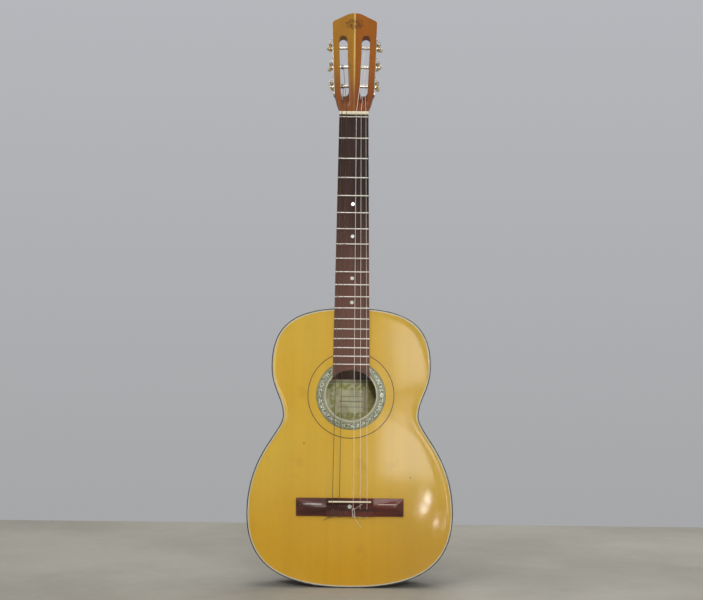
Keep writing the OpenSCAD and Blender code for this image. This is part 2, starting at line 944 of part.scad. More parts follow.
// Turns a point of the frame on a head's side into a point of the part.
function from_flank(side, p) =
    let (x = flank_half + (post_s - flank_s) * tan(flare) + p[0] * cos(flare) + p[2] * sin(flare),
         depth = post_depth + p[1],
         s = post_s - p[0] * sin(flare) + p[2] * cos(flare))
    [side * x, y_top + depth * cos(head_tilt) + s * sin(head_tilt),
        head_z - depth * sin(head_tilt) + s * cos(head_tilt)];

// A tied end lies over the tie block, loops over the string and goes back through the hole.
function tie_way(i, tail) =
    let (x = saddle_x(i), r = string_d[i - 1] / 2, top = tie_h + r + 0.05, low = string_hole_h,
         edge = bridge_z + tie_l, over = low + 2 * r + 0.5)
    concat(tail, [at(x + 2.6, top, bridge_z + 2.6), at(x + 1.9, top, edge - 2),
     at(x + 1.6, top - 0.3, edge + 0.1), at(x + 1.3, (top + over) / 2, edge + 0.6 + r),
     at(x + 0.6, over + 0.1, edge + 0.9 + r), at(x - 0.6, over + 0.1, edge + 0.9 + r),
     at(x - 1.3, (top + over) / 2, edge + 0.6 + r), at(x - 1.6, top - 0.3, edge + 0.1),
     at(x - 1.5, top, edge - 2), at(x - 1, top, bridge_z + 1.6), at(x - 0.8, top - 0.5, bridge_z - 0.1 - r),
     at(x - 0.5, top - 1.8, bridge_z - 0.4 - r), at(x - 0.2, low + 0.6, bridge_z - 0.4 - r),
     at(x, low, bridge_z + 0.2), at(x, low, edge + 0.1)]);

// A knotted end coils behind the tie block, which stops it from pulling through the hole.
function knot_way(i) =
    let (x = saddle_x(i), r = string_d[i - 1] / 2, reach = r + 0.95, pitch = 2 * r + 0.1,
         low = bridge_z - 0.5 - r)
    concat([at(x + reach, string_hole_h - 2.4, low - 1.6 * pitch - 0.6)],
        [for (a = [-20 : 30 : 530])
            at(x + reach * cos(a), string_hole_h + reach * sin(a), low - (540 - a) / 360 * pitch)],
        [at(x - 0.3 * reach, string_hole_h, bridge_z - 0.1), at(x, string_hole_h, bridge_z + 0.5),
         at(x, string_hole_h, bridge_z + tie_l + 0.1)]);

// The loose ends: string 6 sticks out sideways and string 5 is cut short.
function tail_of(i) =
    let (x = saddle_x(i), top = tie_h + string_d[i - 1] / 2)
    i == 6 ? [at(x - 17, 3.2, bridge_z - 8), at(x - 11, 6, bridge_z - 5), at(x - 5, 7.4, bridge_z - 2.2),
              at(x - 1.5, top + 0.5, bridge_z - 0.9), at(x + 1.2, top + 0.75, bridge_z + 0.5)]
    : [at(x + 3.2, top + 0.4, bridge_z - 1.5)];

wind_step = 24;
turns = 3.2;
wind_u = [-16, -17, -18.5, 0, -16.5, -15.5];

// The wound end: round the front of the post first, then towards the flank.
function wind_way(i) =
    let (r = string_d[i - 1] / 2, reach = (post_r + r + 0.06) / cos(wind_step / 2), pitch = 2 * r + 0.12)
    [for (a = [-20 : wind_step : 360 * turns])
        from_flank(side_of(i), [wind_u[i - 1] + pitch * a / 360, -reach * cos(a), post_v(i) + reach * sin(a)])];

function span_way(i) =
    let (r = string_d[i - 1] / 2, x0 = saddle_x(i), x1 = nut_x(i))
    [at(x0, saddle_h + r + 0.03, saddle_z - 0.6), at(x0, saddle_h + r + 0.03, saddle_z + 0.6),
     at(x1, board_t + fret_r + r + 0.03, zero_z - 0.2), at(x1, board_t + fret_r + r + 0.03, zero_z + 0.2),
     at(x1, groove_h + r + 0.03, nut_front + 1), at(x1, groove_h + r + 0.03, nut_back - 0.3)];

function end_way(i) = i <= 2 ? knot_way(i) : tie_way(i, tail_of(i));

module string(i) {
    color(i > 3 ? "silver" : "white")
        tube(concat(end_way(i), span_way(i), wind_way(i)), string_d[i - 1] / 2, 6);
}

module string_1() { string(1); }
module string_2() { string(2); }
// A curly offcut of nylon lies over the tie of string 3.
module string_3() {
    string(3);
    color("white")
        tube([at(22, 12, bridge_z + 22.3), at(17.5, 12, bridge_z + 19.4), at(12, 11.4, bridge_z + 15.4),
            at(7, 10.6, bridge_z + 12.6), at(4.6, 10, bridge_z + 10.8), at(4.3, 9.8, bridge_z + 8),
            at(5.2, 9.7, bridge_z + 5), at(6.6, 9.4, bridge_z + 2), at(8.6, 8.4, bridge_z - 2.2),
            at(12.2, 6.4, bridge_z - 8.6), at(16, 4.4, bridge_z - 14.4), at(20.5, 2.6, bridge_z - 20)],
            0.36, 6);
}
module string_5() { string(5); }
module string_6() { string(6); }

// What is left of the broken string: its tie and an end bent along the tie block.
module string_4() {
    x = saddle_x(BROKEN);
    edge = bridge_z + tie_l;
    color("silver")
        tube(concat(tie_way(BROKEN, tail_of(BROKEN)), [at(x - 0.3, string_hole_h, edge + 0.6),
            at(x - 1.1, string_hole_h, edge + 0.9), at(x - 3, string_hole_h, edge + 0.8),
            at(x - 9.6, string_hole_h + 0.2, edge + 0.9)]),
            string_d[BROKEN - 1] / 2, 6);
}

// ---------- the parts ----------

module side_bass() { side_rib(BASS); }
module side_treble() { side_rib(TREBLE); }

soundboard();
back();
side_bass();
side_treble();
top_binding();
top_purfling();
back_binding();
linings();
neck_block();
tail_block();
top_braces();
back_braces();
rosette();
rosette_ring();
label();
bridge();
saddle();
bridge_bolt();
bridge_dot();
neck_bass();
neck_treble();
neck_strip();
heel_cap();
fingerboard();
frets();
position_dots();
nut();
tuner_plate_bass();
tuner_plate_treble();
plate_screws();
string_1();
string_2();
string_3();
string_4();
string_5();
string_6();
worm_1();
worm_2();
worm_3();
worm_4();
worm_5();
worm_6();
button_1();
button_2();
button_3();
button_4();
button_5();
button_6();
gear_1();
gear_2();
gear_3();
gear_4();
gear_5();
gear_6();
post_1();
post_2();
post_3();
post_4();
post_5();
post_6();
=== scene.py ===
"""Classical guitar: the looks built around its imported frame."""

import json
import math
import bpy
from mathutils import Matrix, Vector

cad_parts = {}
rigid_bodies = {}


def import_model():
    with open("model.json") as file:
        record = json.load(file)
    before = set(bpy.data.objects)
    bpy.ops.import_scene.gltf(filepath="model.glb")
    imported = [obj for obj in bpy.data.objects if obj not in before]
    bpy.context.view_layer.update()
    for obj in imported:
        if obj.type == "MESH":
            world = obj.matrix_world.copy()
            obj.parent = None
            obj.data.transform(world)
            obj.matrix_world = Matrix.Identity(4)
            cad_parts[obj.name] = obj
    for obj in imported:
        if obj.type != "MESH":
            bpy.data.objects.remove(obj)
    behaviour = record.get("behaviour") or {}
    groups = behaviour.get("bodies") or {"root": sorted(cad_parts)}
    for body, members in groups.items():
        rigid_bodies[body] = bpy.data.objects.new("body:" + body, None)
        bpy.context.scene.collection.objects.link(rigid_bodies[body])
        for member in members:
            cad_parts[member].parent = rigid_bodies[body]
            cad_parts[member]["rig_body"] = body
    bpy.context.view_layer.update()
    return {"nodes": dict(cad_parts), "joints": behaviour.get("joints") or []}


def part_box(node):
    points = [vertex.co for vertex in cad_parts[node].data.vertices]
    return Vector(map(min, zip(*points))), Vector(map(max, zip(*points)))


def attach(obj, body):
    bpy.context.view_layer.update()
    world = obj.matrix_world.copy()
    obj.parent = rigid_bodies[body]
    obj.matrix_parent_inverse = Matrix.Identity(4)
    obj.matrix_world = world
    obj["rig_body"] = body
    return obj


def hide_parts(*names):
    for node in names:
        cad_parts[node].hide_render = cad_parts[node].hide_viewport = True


bl_info = {
    "name": "Classical Guitar Finish",
    "version": (1, 0, 0),
    "blender": (4, 5, 0),
    "location": "3D View > Sidebar > Guitar",
    "description": "Builds the wood, lacquer, inlay, strings and tuners of a classical guitar",
    "category": "Object",
}

import bmesh
import bpy
import numpy as np
from bpy.props import FloatProperty, FloatVectorProperty, IntProperty
from mathutils import Matrix, Vector

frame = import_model()
NODES = frame["nodes"]
JOINTS = {joint["name"]: joint for joint in frame["joints"]}
ROOT = "guitar"
MM = 0.001

# Places taken from the frame, in metres.
FACE_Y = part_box("soundboard")[0].y
HOLE_Z = (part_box("rosette")[0].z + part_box("rosette")[1].z) / 2
RING_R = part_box("rosette_ring")[1].x
ROSETTE_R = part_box("rosette")[1].x
INLAY_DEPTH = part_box("rosette")[1].y - FACE_Y
HEAD_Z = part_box("nut")[1].z
HEAD_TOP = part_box("neck_strip")[1].z
TILT = math.acos(abs(JOINTS["tuner_1_turn"]["axis"][1]))
BASS_TUNERS = (4, 5, 6)

# Places on the pieces, in metres.
RIDGE_LOW, RIDGE_HIGH = 0.1412, 0.1424
RIDGE_START, RIDGE_END = 0.048, 0.078
CHAFE_START, CHAFE_END = -0.076, -0.090
RING_LINE = 1.3 * MM
FLOWER_DROP, FLOWER_WIDE, FLOWER_HIGH = 19.5 * MM, 18.0 * MM, 11.0 * MM
BUTTON_START, BUTTON_END = 12.6 * MM, 31.2 * MM
BUTTON_TURNS = (62, -35, 18, -20, 40, -65)

# Radii of the mosaic's rings, in millimetres, and the spacing of its diamonds.
LIP_END, CHIPS_START, CHIPS_END, RIM_LINE = 45.0, 49.2, 55.2, 58.6
MOSAIC_R, DIAMOND_R, DIAMOND_GAP = 52.0, 52.4, 11.6

# Radii of edges, in metres.
ROUND = {
    "bridge": 0.35 * MM, "saddle": 0.3 * MM, "dot": 0.15 * MM, "heel_cap": 0.4 * MM,
    "fingerboard": 0.4 * MM, "nut": 0.25 * MM, "plate": 0.2 * MM, "screw": 0.12 * MM,
    "post": 0.15 * MM, "gear": 0.12 * MM}

# Colours of wear, dirt, print and painted light and shade, which lie over the pieces' own.
RING_BROWN = (0.42, 0.19, 0.012)
STRAW_FADE_AND_HAZE = (0.64, 0.44, 0.12)
SPECK_BROWN = (0.16, 0.07, 0.01)
STAIN_BROWN = (0.36, 0.18, 0.02)
VENEER_PORE = (0.012, 0.006, 0.004)
ROSEWOOD_PORE = (0.01, 0.006, 0.005)
ROSEWOOD_WORN = (0.26, 0.17, 0.14)
BOARD_SHEEN_GREY = (0.22, 0.105, 0.075)
CHAFED_WOOD = (0.36, 0.22, 0.13)
PAINTED_RIDGE_LIGHT = (0.78, 0.66, 0.58)
NECK_RED = (0.205, 0.052, 0.014)
NECK_DIRT = (0.10, 0.04, 0.012)
FLOWER_INK = (0.13, 0.04, 0.008)
RUBBED_PLASTIC = (0.095, 0.105, 0.07)
SHELL_PALE, SHELL_GREEN, SHELL_PINK = (0.74, 0.75, 0.70), (0.50, 0.58, 0.54), (0.80, 0.66, 0.64)
WINDING_GAP = (0.03, 0.02, 0.016)
CHIP_OLIVE, CHIP_PALE, CHIP_DARK = (0.17, 0.18, 0.105), (0.70, 0.72, 0.60), (0.08, 0.09, 0.05)
DIAMOND_BLACK, RIM_DARK = (0.012, 0.012, 0.010), (0.05, 0.055, 0.04)
INNER_DARK, INNER_PALE, LIP_PALE = (0.15, 0.155, 0.085), (0.34, 0.34, 0.22), (0.50, 0.50, 0.36)
OUTER_DARK, OUTER_PALE = (0.13, 0.145, 0.075), (0.27, 0.285, 0.175)
PAPER_AGED, PAPER_STAIN, LABEL_SHADOW_OLIVE = (0.42, 0.40, 0.20), (0.34, 0.27, 0.09), (0.40, 0.32, 0.07)
FRAME_INK, RULE_INK = (0.16, 0.20, 0.07), (0.14, 0.13, 0.07)
NICKEL_TARNISH, FRET_TARNISH = (0.34, 0.27, 0.18), (0.42, 0.36, 0.28)
BOLT_TARNISH, BRASS_TARNISH = (0.30, 0.24, 0.16), (0.20, 0.13, 0.05)
FLOOR_DARK, FLOOR_PALE = (0.32, 0.305, 0.254), (0.42, 0.404, 0.347)
SKY_LOW, SKY_HIGH = (0.385, 0.388, 0.398, 1), (0.470, 0.475, 0.502, 1)
LAMP_WHITE = (1.0, 0.985, 0.96)


# ---------- sizes and colours ----------


class GuitarWood(bpy.types.PropertyGroup):
    """Colours and grain of the wooden pieces."""

    # The top's deep and pale colours are partly aged lacquer and partly painted light: shade at the
    # foot and haze over the upper half.
    top_deep: FloatVectorProperty(
        name="Top, deep", description="Aged amber at the foot of the soundboard",
        subtype="COLOR", default=(0.625, 0.330, 0.006), min=0, max=1)
    top_pale: FloatVectorProperty(
        name="Top, pale", description="Faded straw of the soundboard's upper half",
        subtype="COLOR", default=(0.690, 0.440, 0.045), min=0, max=1)
    ring_gap: FloatProperty(
        name="Growth ring spacing", description="Distance between the top's growth rings",
        subtype="DISTANCE", unit="LENGTH", default=1.5 * MM, min=0.5 * MM, max=4 * MM)
    side_dark: FloatVectorProperty(
        name="Sides, dark", description="Dark figure of the back and sides",
        subtype="COLOR", default=(0.055, 0.015, 0.007), min=0, max=1)
    side_light: FloatVectorProperty(
        name="Sides, light", description="Light figure of the back and sides",
        subtype="COLOR", default=(0.200, 0.066, 0.024), min=0, max=1)
    rosewood_dark: FloatVectorProperty(
        name="Rosewood, dark", description="Dark streaks of the fingerboard and bridge",
        subtype="COLOR", default=(0.024, 0.012, 0.010), min=0, max=1)
    board_light: FloatVectorProperty(
        name="Fingerboard, light", description="Light streaks of the fingerboard",
        subtype="COLOR", default=(0.125, 0.052, 0.040), min=0, max=1)
    bridge_light: FloatVectorProperty(
        name="Bridge, light", description="Red-brown streaks of the bridge",
        subtype="COLOR", default=(0.150, 0.030, 0.017), min=0, max=1)
    neck_gold: FloatVectorProperty(
        name="Neck, bass half", description="Golden lacquer over the neck's bass half",
        subtype="COLOR", default=(0.355, 0.160, 0.014), min=0, max=1)
    neck_orange: FloatVectorProperty(
        name="Neck, treble half", description="Orange lacquer over the neck's treble half",
        subtype="COLOR", default=(0.320, 0.098, 0.006), min=0, max=1)
    neck_strip: FloatVectorProperty(
        name="Neck strip", description="Pale strip down the middle of the neck",
        subtype="COLOR", default=(0.580, 0.400, 0.115), min=0, max=1)
    bare: FloatVectorProperty(
        name="Inside wood", description="Unfinished wood of the blocks and braces",
        subtype="COLOR", default=(0.480, 0.270, 0.120), min=0, max=1)


class GuitarTrim(bpy.types.PropertyGroup):
    """Colours of the plastic, metal and paper."""

    dark_line: FloatVectorProperty(
        name="Dark trim", description="Near-black binding and lines",
        subtype="COLOR", default=(0.018, 0.013, 0.010), min=0, max=1)
    pale_line: FloatVectorProperty(
        name="Pale trim", description="Ivory-coloured purfling lines",
        subtype="COLOR", default=(0.560, 0.540, 0.400), min=0, max=1)
    bone: FloatVectorProperty(
        name="Nut and saddle", description="Cream of the nut and saddle",
        subtype="COLOR", default=(0.800, 0.720, 0.520), min=0, max=1)
    button: FloatVectorProperty(
        name="Tuner buttons", description="Cream of the tuner buttons",
        subtype="COLOR", default=(0.800, 0.730, 0.520), min=0, max=1)
    nickel: FloatVectorProperty(
        name="Nickel", description="Plated steel of the tuners and frets",
        subtype="COLOR", default=(0.660, 0.630, 0.580), min=0, max=1)
    brass: FloatVectorProperty(
        name="Brass", description="Aged brass of the tuner gears",
        subtype="COLOR", default=(0.600, 0.410, 0.150), min=0, max=1)
    bronze: FloatVectorProperty(
        name="Wound strings", description="Tarnished winding of the thick strings",
        subtype="COLOR", default=(0.250, 0.170, 0.110), min=0, max=1)
    nylon: FloatVectorProperty(
        name="Nylon", description="Clear nylon of the thin strings",
        subtype="COLOR", default=(0.780, 0.740, 0.660), min=0, max=1)
    paper: FloatVectorProperty(
        name="Label paper", description="Yellowed paper of the label",
        subtype="COLOR", default=(0.860, 0.840, 0.560), min=0, max=1)
    leaf: FloatVectorProperty(
        name="Label leaves", description="Green of the label's printed leaves",
        subtype="COLOR", default=(0.430, 0.470, 0.070), min=0, max=1)


class GuitarSizes(bpy.types.PropertyGroup):
    """Sizes of the rounded, turned and dished pieces."""

    binding_round: FloatProperty(
        name="Binding rounding", description="Radius of the bindings' corners",
        subtype="DISTANCE", unit="LENGTH", default=0.8 * MM, min=0.1 * MM, max=0.85 * MM)
    wood_round: FloatProperty(
        name="Neck rounding", description="Radius of the neck's and head's edges",
        subtype="DISTANCE", unit="LENGTH", default=0.7 * MM, min=0.1 * MM, max=2 * MM)
    top_dish: FloatProperty(
        name="Sunken lacquer", description="Depth by which the plates sink beside their edges",
        subtype="DISTANCE", unit="LENGTH", default=0.5 * MM, min=0, max=1 * MM)
    dish_reach: FloatProperty(
        name="Sunken reach", description="Distance from the edge at which the plates sink most",
        subtype="DISTANCE", unit="LENGTH", default=11 * MM, min=4 * MM, max=30 * MM)
    button_width: FloatProperty(
        name="Button width", description="Width of a tuner button",
        subtype="DISTANCE", unit="LENGTH", default=15 * MM, min=10 * MM, max=15 * MM)
    button_thick: FloatProperty(
        name="Button thickness", description="Thickness of a tuner button",
        subtype="DISTANCE", unit="LENGTH", default=6.0 * MM, min=4 * MM, max=6.5 * MM)
    string_levels: IntProperty(
        name="String smoothness", description="Subdivision levels of the strings",
        default=1, min=0, max=2)


def wood():
    """The scene's settings for the wood."""
    return bpy.context.scene.guitar_wood


def trim():
    """The scene's settings for the plastic, metal and paper."""
    return bpy.context.scene.guitar_trim


def sizes():
    """The scene's settings for sizes."""
    return bpy.context.scene.guitar_sizes


# ---------- shader maths ----------


class Signal:
    """A shader socket that takes part in arithmetic: each operation adds one Math node."""

    def __init__(self, paint, socket):
        self.paint, self.socket = paint, socket

    def math(self, operation, *values):
        return self.paint.add("ShaderNodeMath", {"operation": operation}, *values)

    def __add__(self, other):
        return self.math("ADD", self, other)

    def __sub__(self, other):
        return self.math("SUBTRACT", self, other)

    def __rsub__(self, other):
        return self.math("SUBTRACT", other, self)

    def __mul__(self, other):
        return self.math("MULTIPLY", self, other)

    def __truediv__(self, other):
        return self.math("DIVIDE", self, other)

    def __pow__(self, other):
        return self.math("POWER", self, other)

    def __lt__(self, other):
        return self.math("LESS_THAN", self, other)

    def __abs__(self):
        return self.math("ABSOLUTE", self)

    __radd__ = __add__
    __rmul__ = __mul__

    def sine(self):
        return self.math("SINE", self)

    def root(self):
        return self.math("SQRT", self)

    def larger(self, other):
        return self.math("MAXIMUM", self, other)

    def bearing(self, up):
        """The angle from straight up, where this is the distance across."""
        return self.math("ARCTAN2", self, up)

    def past(self, period):
        """How far it is past the last multiple of a period."""
        return self.math("FLOORED_MODULO", self, period)

    def ramp(self, low, high):
        """0 at low, 1 at high, and smooth in between."""
        return self.paint.add(
            "ShaderNodeMapRange", {"interpolation_type": "SMOOTHSTEP"}, self, low, high, 0.0, 1.0)

    def band(self, low, high, soft):
        """1 between low and high, with soft edges."""
        return self.ramp(low - soft, low + soft) * self.ramp(high + soft, high - soft)


class Paint:
    """A material whose nodes are added one call at a time, on Object coordinates."""

    def __init__(self, name):
        self.material = bpy.data.materials.new(name)
        self.material.use_nodes = True
        self.tree = self.material.node_tree
        self.shader = self.tree.nodes["Principled BSDF"]
        self.place = self.add("ShaderNodeTexCoord", output="Object")
        split = self.tree.nodes.new("ShaderNodeSeparateXYZ")
        self.feed(split.inputs[0], self.place)
        self.x, self.y, self.z = (Signal(self, split.outputs[i]) for i in range(3))

    def feed(self, socket, value):
        if isinstance(value, Signal):
            self.tree.links.new(value.socket, socket)
        elif hasattr(value, "__len__") and len(value) == 3 and len(socket.default_value) == 4:
            socket.default_value = (*value, 1.0)
        else:
            socket.default_value = value

    def add(self, kind, settings=None, *values, output=0, **named):
        """Adds a node of a kind: its settings first, then its sockets, by order or by name."""
        node = self.tree.nodes.new(kind)
        for key, value in (settings or {}).items():
            setattr(node, key, value)
        for key, value in [*enumerate(values), *named.items()]:
            self.feed(node.inputs[key.replace("_", " ") if isinstance(key, str) else key], value)
        return Signal(self, node.outputs[output])

    def vector(self, x, y, z):
        return self.add("ShaderNodeCombineXYZ", None, x, y, z)

    def noise(self, place, scale=1.0, detail=2.0, roughness=0.5):
        return self.add("ShaderNodeTexNoise", None, Vector=place, Scale=scale, Detail=detail,
                        Roughness=roughness)

    def grain(self, x, y, z, detail=2.0, roughness=0.5, seed=0.0):
        """Noise with its own scale on each axis, as wood grain has."""
        place = self.vector(self.x * x + seed, self.y * y, self.z * z)
        return self.noise(place, 1.0, detail, roughness)

    def cells(self, place, scale, output="Distance"):
        return self.add("ShaderNodeTexVoronoi", None, Vector=place, Scale=scale, output=output)

    def chance(self, place, scale):
        """A different number from 0 to 1 for each cell of a Voronoi pattern."""
        return self.add("ShaderNodeSeparateColor", None, self.cells(place, scale, "Color"))

    def mix(self, first, second, share, blend="MIX"):
        node = self.tree.nodes.new("ShaderNodeMix")
        node.data_type, node.blend_type = "RGBA", blend
        for index, value in ((0, share), (6, first), (7, second)):
            self.feed(node.inputs[index], value)
        return Signal(self, node.outputs[2])

    def shade(self, colour, amount):
        """The colour multiplied by a grey amount."""
        grey = self.add("ShaderNodeCombineColor", None, amount, amount, amount)
        return self.mix(colour, grey, 1.0, "MULTIPLY")

    def bump(self, height, distance, strength=1.0):
        """Relief of a height from 0 to 1, for the shader's Normal."""
        self.feed(self.shader.inputs["Normal"], self.add(
            "ShaderNodeBump", None, Strength=strength, Distance=distance, Height=height))

    def finish(self, **sockets):
        """Sets the shader's own sockets, by name, and gives the material."""
        for key, value in sockets.items():
            self.feed(self.shader.inputs[key.replace("_", " ")], value)
        return self.material


# ---------- wood ----------


def spruce_top():
    """Aged spruce under thin amber lacquer: two mirrored halves of fine upright growth rings."""
    paint, w = Paint("spruce_top"), wood()
    half = abs(paint.x)
    wander = paint.grain(7.0, 0.0, 2.0)
    rings = ((half + wander * 0.010) * (2 * math.pi / w.ring_gap)).sine() * 0.5 + 0.5
    broad = paint.noise(paint.vector(half * 70.0, 1.5, paint.z * 1.6))
    cloud = paint.noise(paint.place, 9.0, 4.0, 0.55)
    fine = paint.noise(paint.place, 260.0)
    # Deeper amber towards the foot and paler straw above: partly aged lacquer, partly painted
    # light, with shade at the foot and haze above.
    amber = paint.z.ramp(0.24, 0.02) * 0.9 + (cloud - 0.5) * 0.9 + 0.06
    colour = paint.mix(w.top_pale, w.top_deep, amber)
    colour = paint.mix(colour, RING_BROWN, rings ** 4.0 * 0.30)
    colour = paint.shade(colour, 0.90 + broad * 0.14 + fine * 0.06)
    # Paler straw in clouds over the treble side: partly sun-faded lacquer, partly a painted haze of
    # reflected light.
    colour = paint.mix(colour, STRAW_FADE_AND_HAZE, paint.x.ramp(0.0, 0.16) * cloud * 0.35)
    # Painted shade: the top darkens towards its treble side.
    colour = paint.shade(colour, 1.0 - paint.x.ramp(0.0, 0.14) * 0.14)
    specks = paint.cells(paint.vector(paint.x, 0.0, paint.z), 21.0)
    colour = paint.mix(colour, SPECK_BROWN, specks.ramp(0.055, 0.030) * 0.55)
    stain = paint.noise(paint.vector(paint.x + 0.3, 0.0, paint.z), 26.0, 3.0).ramp(0.60, 0.72)
    colour = paint.mix(colour, STAIN_BROWN, stain * 0.16)
    waves = paint.noise(paint.vector(paint.x, 0.0, paint.z * 0.7), 16.0)
    peel = paint.noise(paint.place, 420.0)
    paint.bump(waves * 0.9 + peel * 0.02 + rings * 0.006, 1.6 * MM)
    return paint.finish(
        Base_Color=colour, Roughness=0.42 + cloud * 0.10, Specular_IOR_Level=0.10,
        Coat_Weight=0.70 + fine * 0.2, Coat_Roughness=0.10, Coat_IOR=1.5)


def figured_sides():
    """Dark red-brown veneer: long wavy figure along the body, pores, and gloss."""
    paint, w = Paint("figured_veneer"), wood()
    bend = paint.grain(5.0, 5.0, 1.6)
    across = paint.x * 34.0 + paint.y * 46.0 + bend * 4.5
    figure = paint.noise(paint.vector(across, 0.4, paint.z * 1.9), 1.0, 4.0, 0.6)
    pores = paint.grain(1500.0, 1500.0, 60.0)
    colour = paint.mix(w.side_dark, w.side_light, figure.ramp(0.34, 0.70))
    colour = paint.mix(colour, VENEER_PORE, pores.ramp(0.60, 0.72) * 0.55)
    worn = paint.noise(paint.place, 14.0, 5.0, 0.7)
    colour = paint.shade(colour, 0.8 + worn * 0.4)
    paint.bump(pores * -0.25 + worn * 0.3, 0.25 * MM, 0.5)
    return paint.finish(
        Base_Color=colour, Roughness=0.34 + worn * 0.18, Specular_IOR_Level=0.25,
        Coat_Weight=0.6 + worn * 0.2, Coat_Roughness=0.09)


def rosewood(name, light, along, worn_share):
    """Dark wood with pores, streaks along x or z, and wear: gives the material, colour and wear."""
    paint, w = Paint(name), wood()
    run, cross = (paint.z, paint.x) if along == "z" else (paint.x, paint.z)
    streak = paint.noise(paint.vector(cross * 230.0, paint.y * 90.0, run * 7.0), 1.0, 4.0, 0.62)
    broad = paint.noise(paint.vector(cross * 42.0, 3.0, run * 4.0))
    pores = paint.noise(paint.vector(cross * 2400.0, paint.y * 900.0, run * 150.0), 1.0, 1.0)
    colour = paint.mix(w.rosewood_dark, light, (streak * 0.7 + broad * 0.5).ramp(0.36, 0.78))
    colour = paint.mix(colour, ROSEWOOD_PORE, pores.ramp(0.60, 0.70) * 0.6)
    wear = paint.noise(paint.place, 38.0, 5.0, 0.65)
    colour = paint.mix(colour, ROSEWOOD_WORN, wear.ramp(0.58, 0.80) * worn_share)
    paint.bump(pores * -0.5 + streak * 0.3 + wear * 0.2, 0.18 * MM, 0.6)
    return paint, colour, wear


def fingerboard_wood():
    """Purple-brown rosewood, bare, with painted light: painted shade darkens it towards the nut and
    a painted grey sheen pales it towards the body.
    """
    paint, colour, wear = rosewood("fingerboard_rosewood", wood().board_light, "z", 0.25)
    # Painted light along the board: shade darkens it towards the nut, and a painted grey sheen
    # pales it towards the body.
    painted_sheen = paint.z.ramp(0.72, 0.42)
    colour = paint.mix(paint.shade(colour, 0.38 + painted_sheen * 0.55), BOARD_SHEEN_GREY, painted_sheen * 0.45)
    return paint.finish(Base_Color=colour, Roughness=0.52 + wear * 0.16, Specular_IOR_Level=0.22)


def bridge_wood():
    """Red-brown rosewood, chafed at its bass end, with a painted highlight along each wing's ridge.
    """
    paint, colour, wear = rosewood("bridge_rosewood", wood().bridge_light, "x", 0.15)
    flecks = paint.grain(160.0, 90.0, 420.0, 4.0, 0.7)
    chafed = paint.x.ramp(CHAFE_START, CHAFE_END) * flecks.ramp(0.55, 0.66)
    colour = paint.mix(colour, CHAFED_WOOD, chafed * 0.55)
    # Painted highlight: a pale line along each wing's ridge, broken up by the wear pattern.
    along_wing = abs(paint.x).band(RIDGE_START, RIDGE_END, 4 * MM)
    ridge_light = paint.z.band(RIDGE_LOW, RIDGE_HIGH, 0.4 * MM) * along_wing * wear.ramp(0.25, 0.5)
    colour = paint.mix(colour, PAINTED_RIDGE_LIGHT, ridge_light * 0.75)
    return paint.finish(
        Base_Color=colour, Roughness=0.48 + wear * 0.22, Specular_IOR_Level=0.25,
        Coat_Weight=0.05, Coat_Roughness=0.12)


def head_depth(paint):
    """Distance behind the head's face, which leans back from the nut."""
    return (paint.y - FACE_Y) * math.cos(TILT) - (paint.z - HEAD_Z) * math.sin(TILT)


def neck_wood(name, base, seed):
    """Lacquered neck wood, redder by the nut, with a faded flower transfer on the head's tip."""
    paint = Paint(name)
    grain = paint.grain(300.0, 300.0, 9.0, 4.0, 0.6, seed)
    broad = paint.grain(60.0, 60.0, 5.0, seed=seed)
    colour = paint.shade(base, 0.66 + grain * 0.34 + broad * 0.34)
    colour = paint.mix(colour, NECK_RED, paint.z.ramp(0.905, 0.825) * 0.85)
    dirt = paint.noise(paint.place, 55.0, 5.0, 0.68)
    colour = paint.mix(colour, NECK_DIRT, dirt.ramp(0.54, 0.76) * 0.45)
    across = paint.x / FLOWER_WIDE
    up = (paint.z - (HEAD_TOP - FLOWER_DROP)) / FLOWER_HIGH
    far = (across * across + up * up).root()
    petals = (across.bearing(up) * 8.0).sine() * 0.12 + 0.80
    flower = far.band(0.34, 0.46, 0.05) + (far - petals).band(-0.14, 0.02, 0.05)
    flower = (flower + far.ramp(1.0, 0.5) * 0.8) * head_depth(paint).ramp(2.0 * MM, 0.5 * MM)
    faded = paint.noise(paint.place, 160.0, 3.0).ramp(0.34, 0.62)
    colour = paint.mix(colour, FLOWER_INK, flower * (faded * 0.5 + 0.15))
    paint.bump(grain * 0.3 + dirt * 0.6, 0.22 * MM, 0.5)
    return paint.finish(
        Base_Color=colour, Roughness=0.42 + dirt * 0.22, Specular_IOR_Level=0.12,
        Coat_Weight=0.24 + dirt * 0.2, Coat_Roughness=0.14)


def bare_wood():
    """Unfinished wood inside the box, with dust on it."""
    paint = Paint("bare_inside_wood")
    grain = paint.grain(60.0, 160.0, 160.0, 4.0, 0.6)
    dust = paint.noise(paint.place, 40.0, 4.0)
    colour = paint.shade(wood().bare, 0.7 + grain * 0.5 + dust * 0.2)
    paint.bump(grain, 0.2 * MM, 0.5)
    return paint.finish(Base_Color=colour, Roughness=0.72 + dust * 0.15)


# ---------- trim, metal and paper ----------


def plastic(name, base, spread, roughness):
    """Moulded plastic or bone with faint clouds and scratches, whose shade varies by the spread."""
    paint = Paint(name)
    cloud = paint.noise(paint.place, 140.0, 4.0, 0.6)
    fine = paint.grain(900.0, 900.0, 5200.0, 1.0)
    colour = paint.shade(base, 1.0 - spread + cloud * spread * 1.6)
    paint.bump(cloud * 0.7 + fine * 0.3, 0.06 * MM, 0.6)
    return paint.finish(Base_Color=colour, Roughness=roughness + cloud * 0.12)


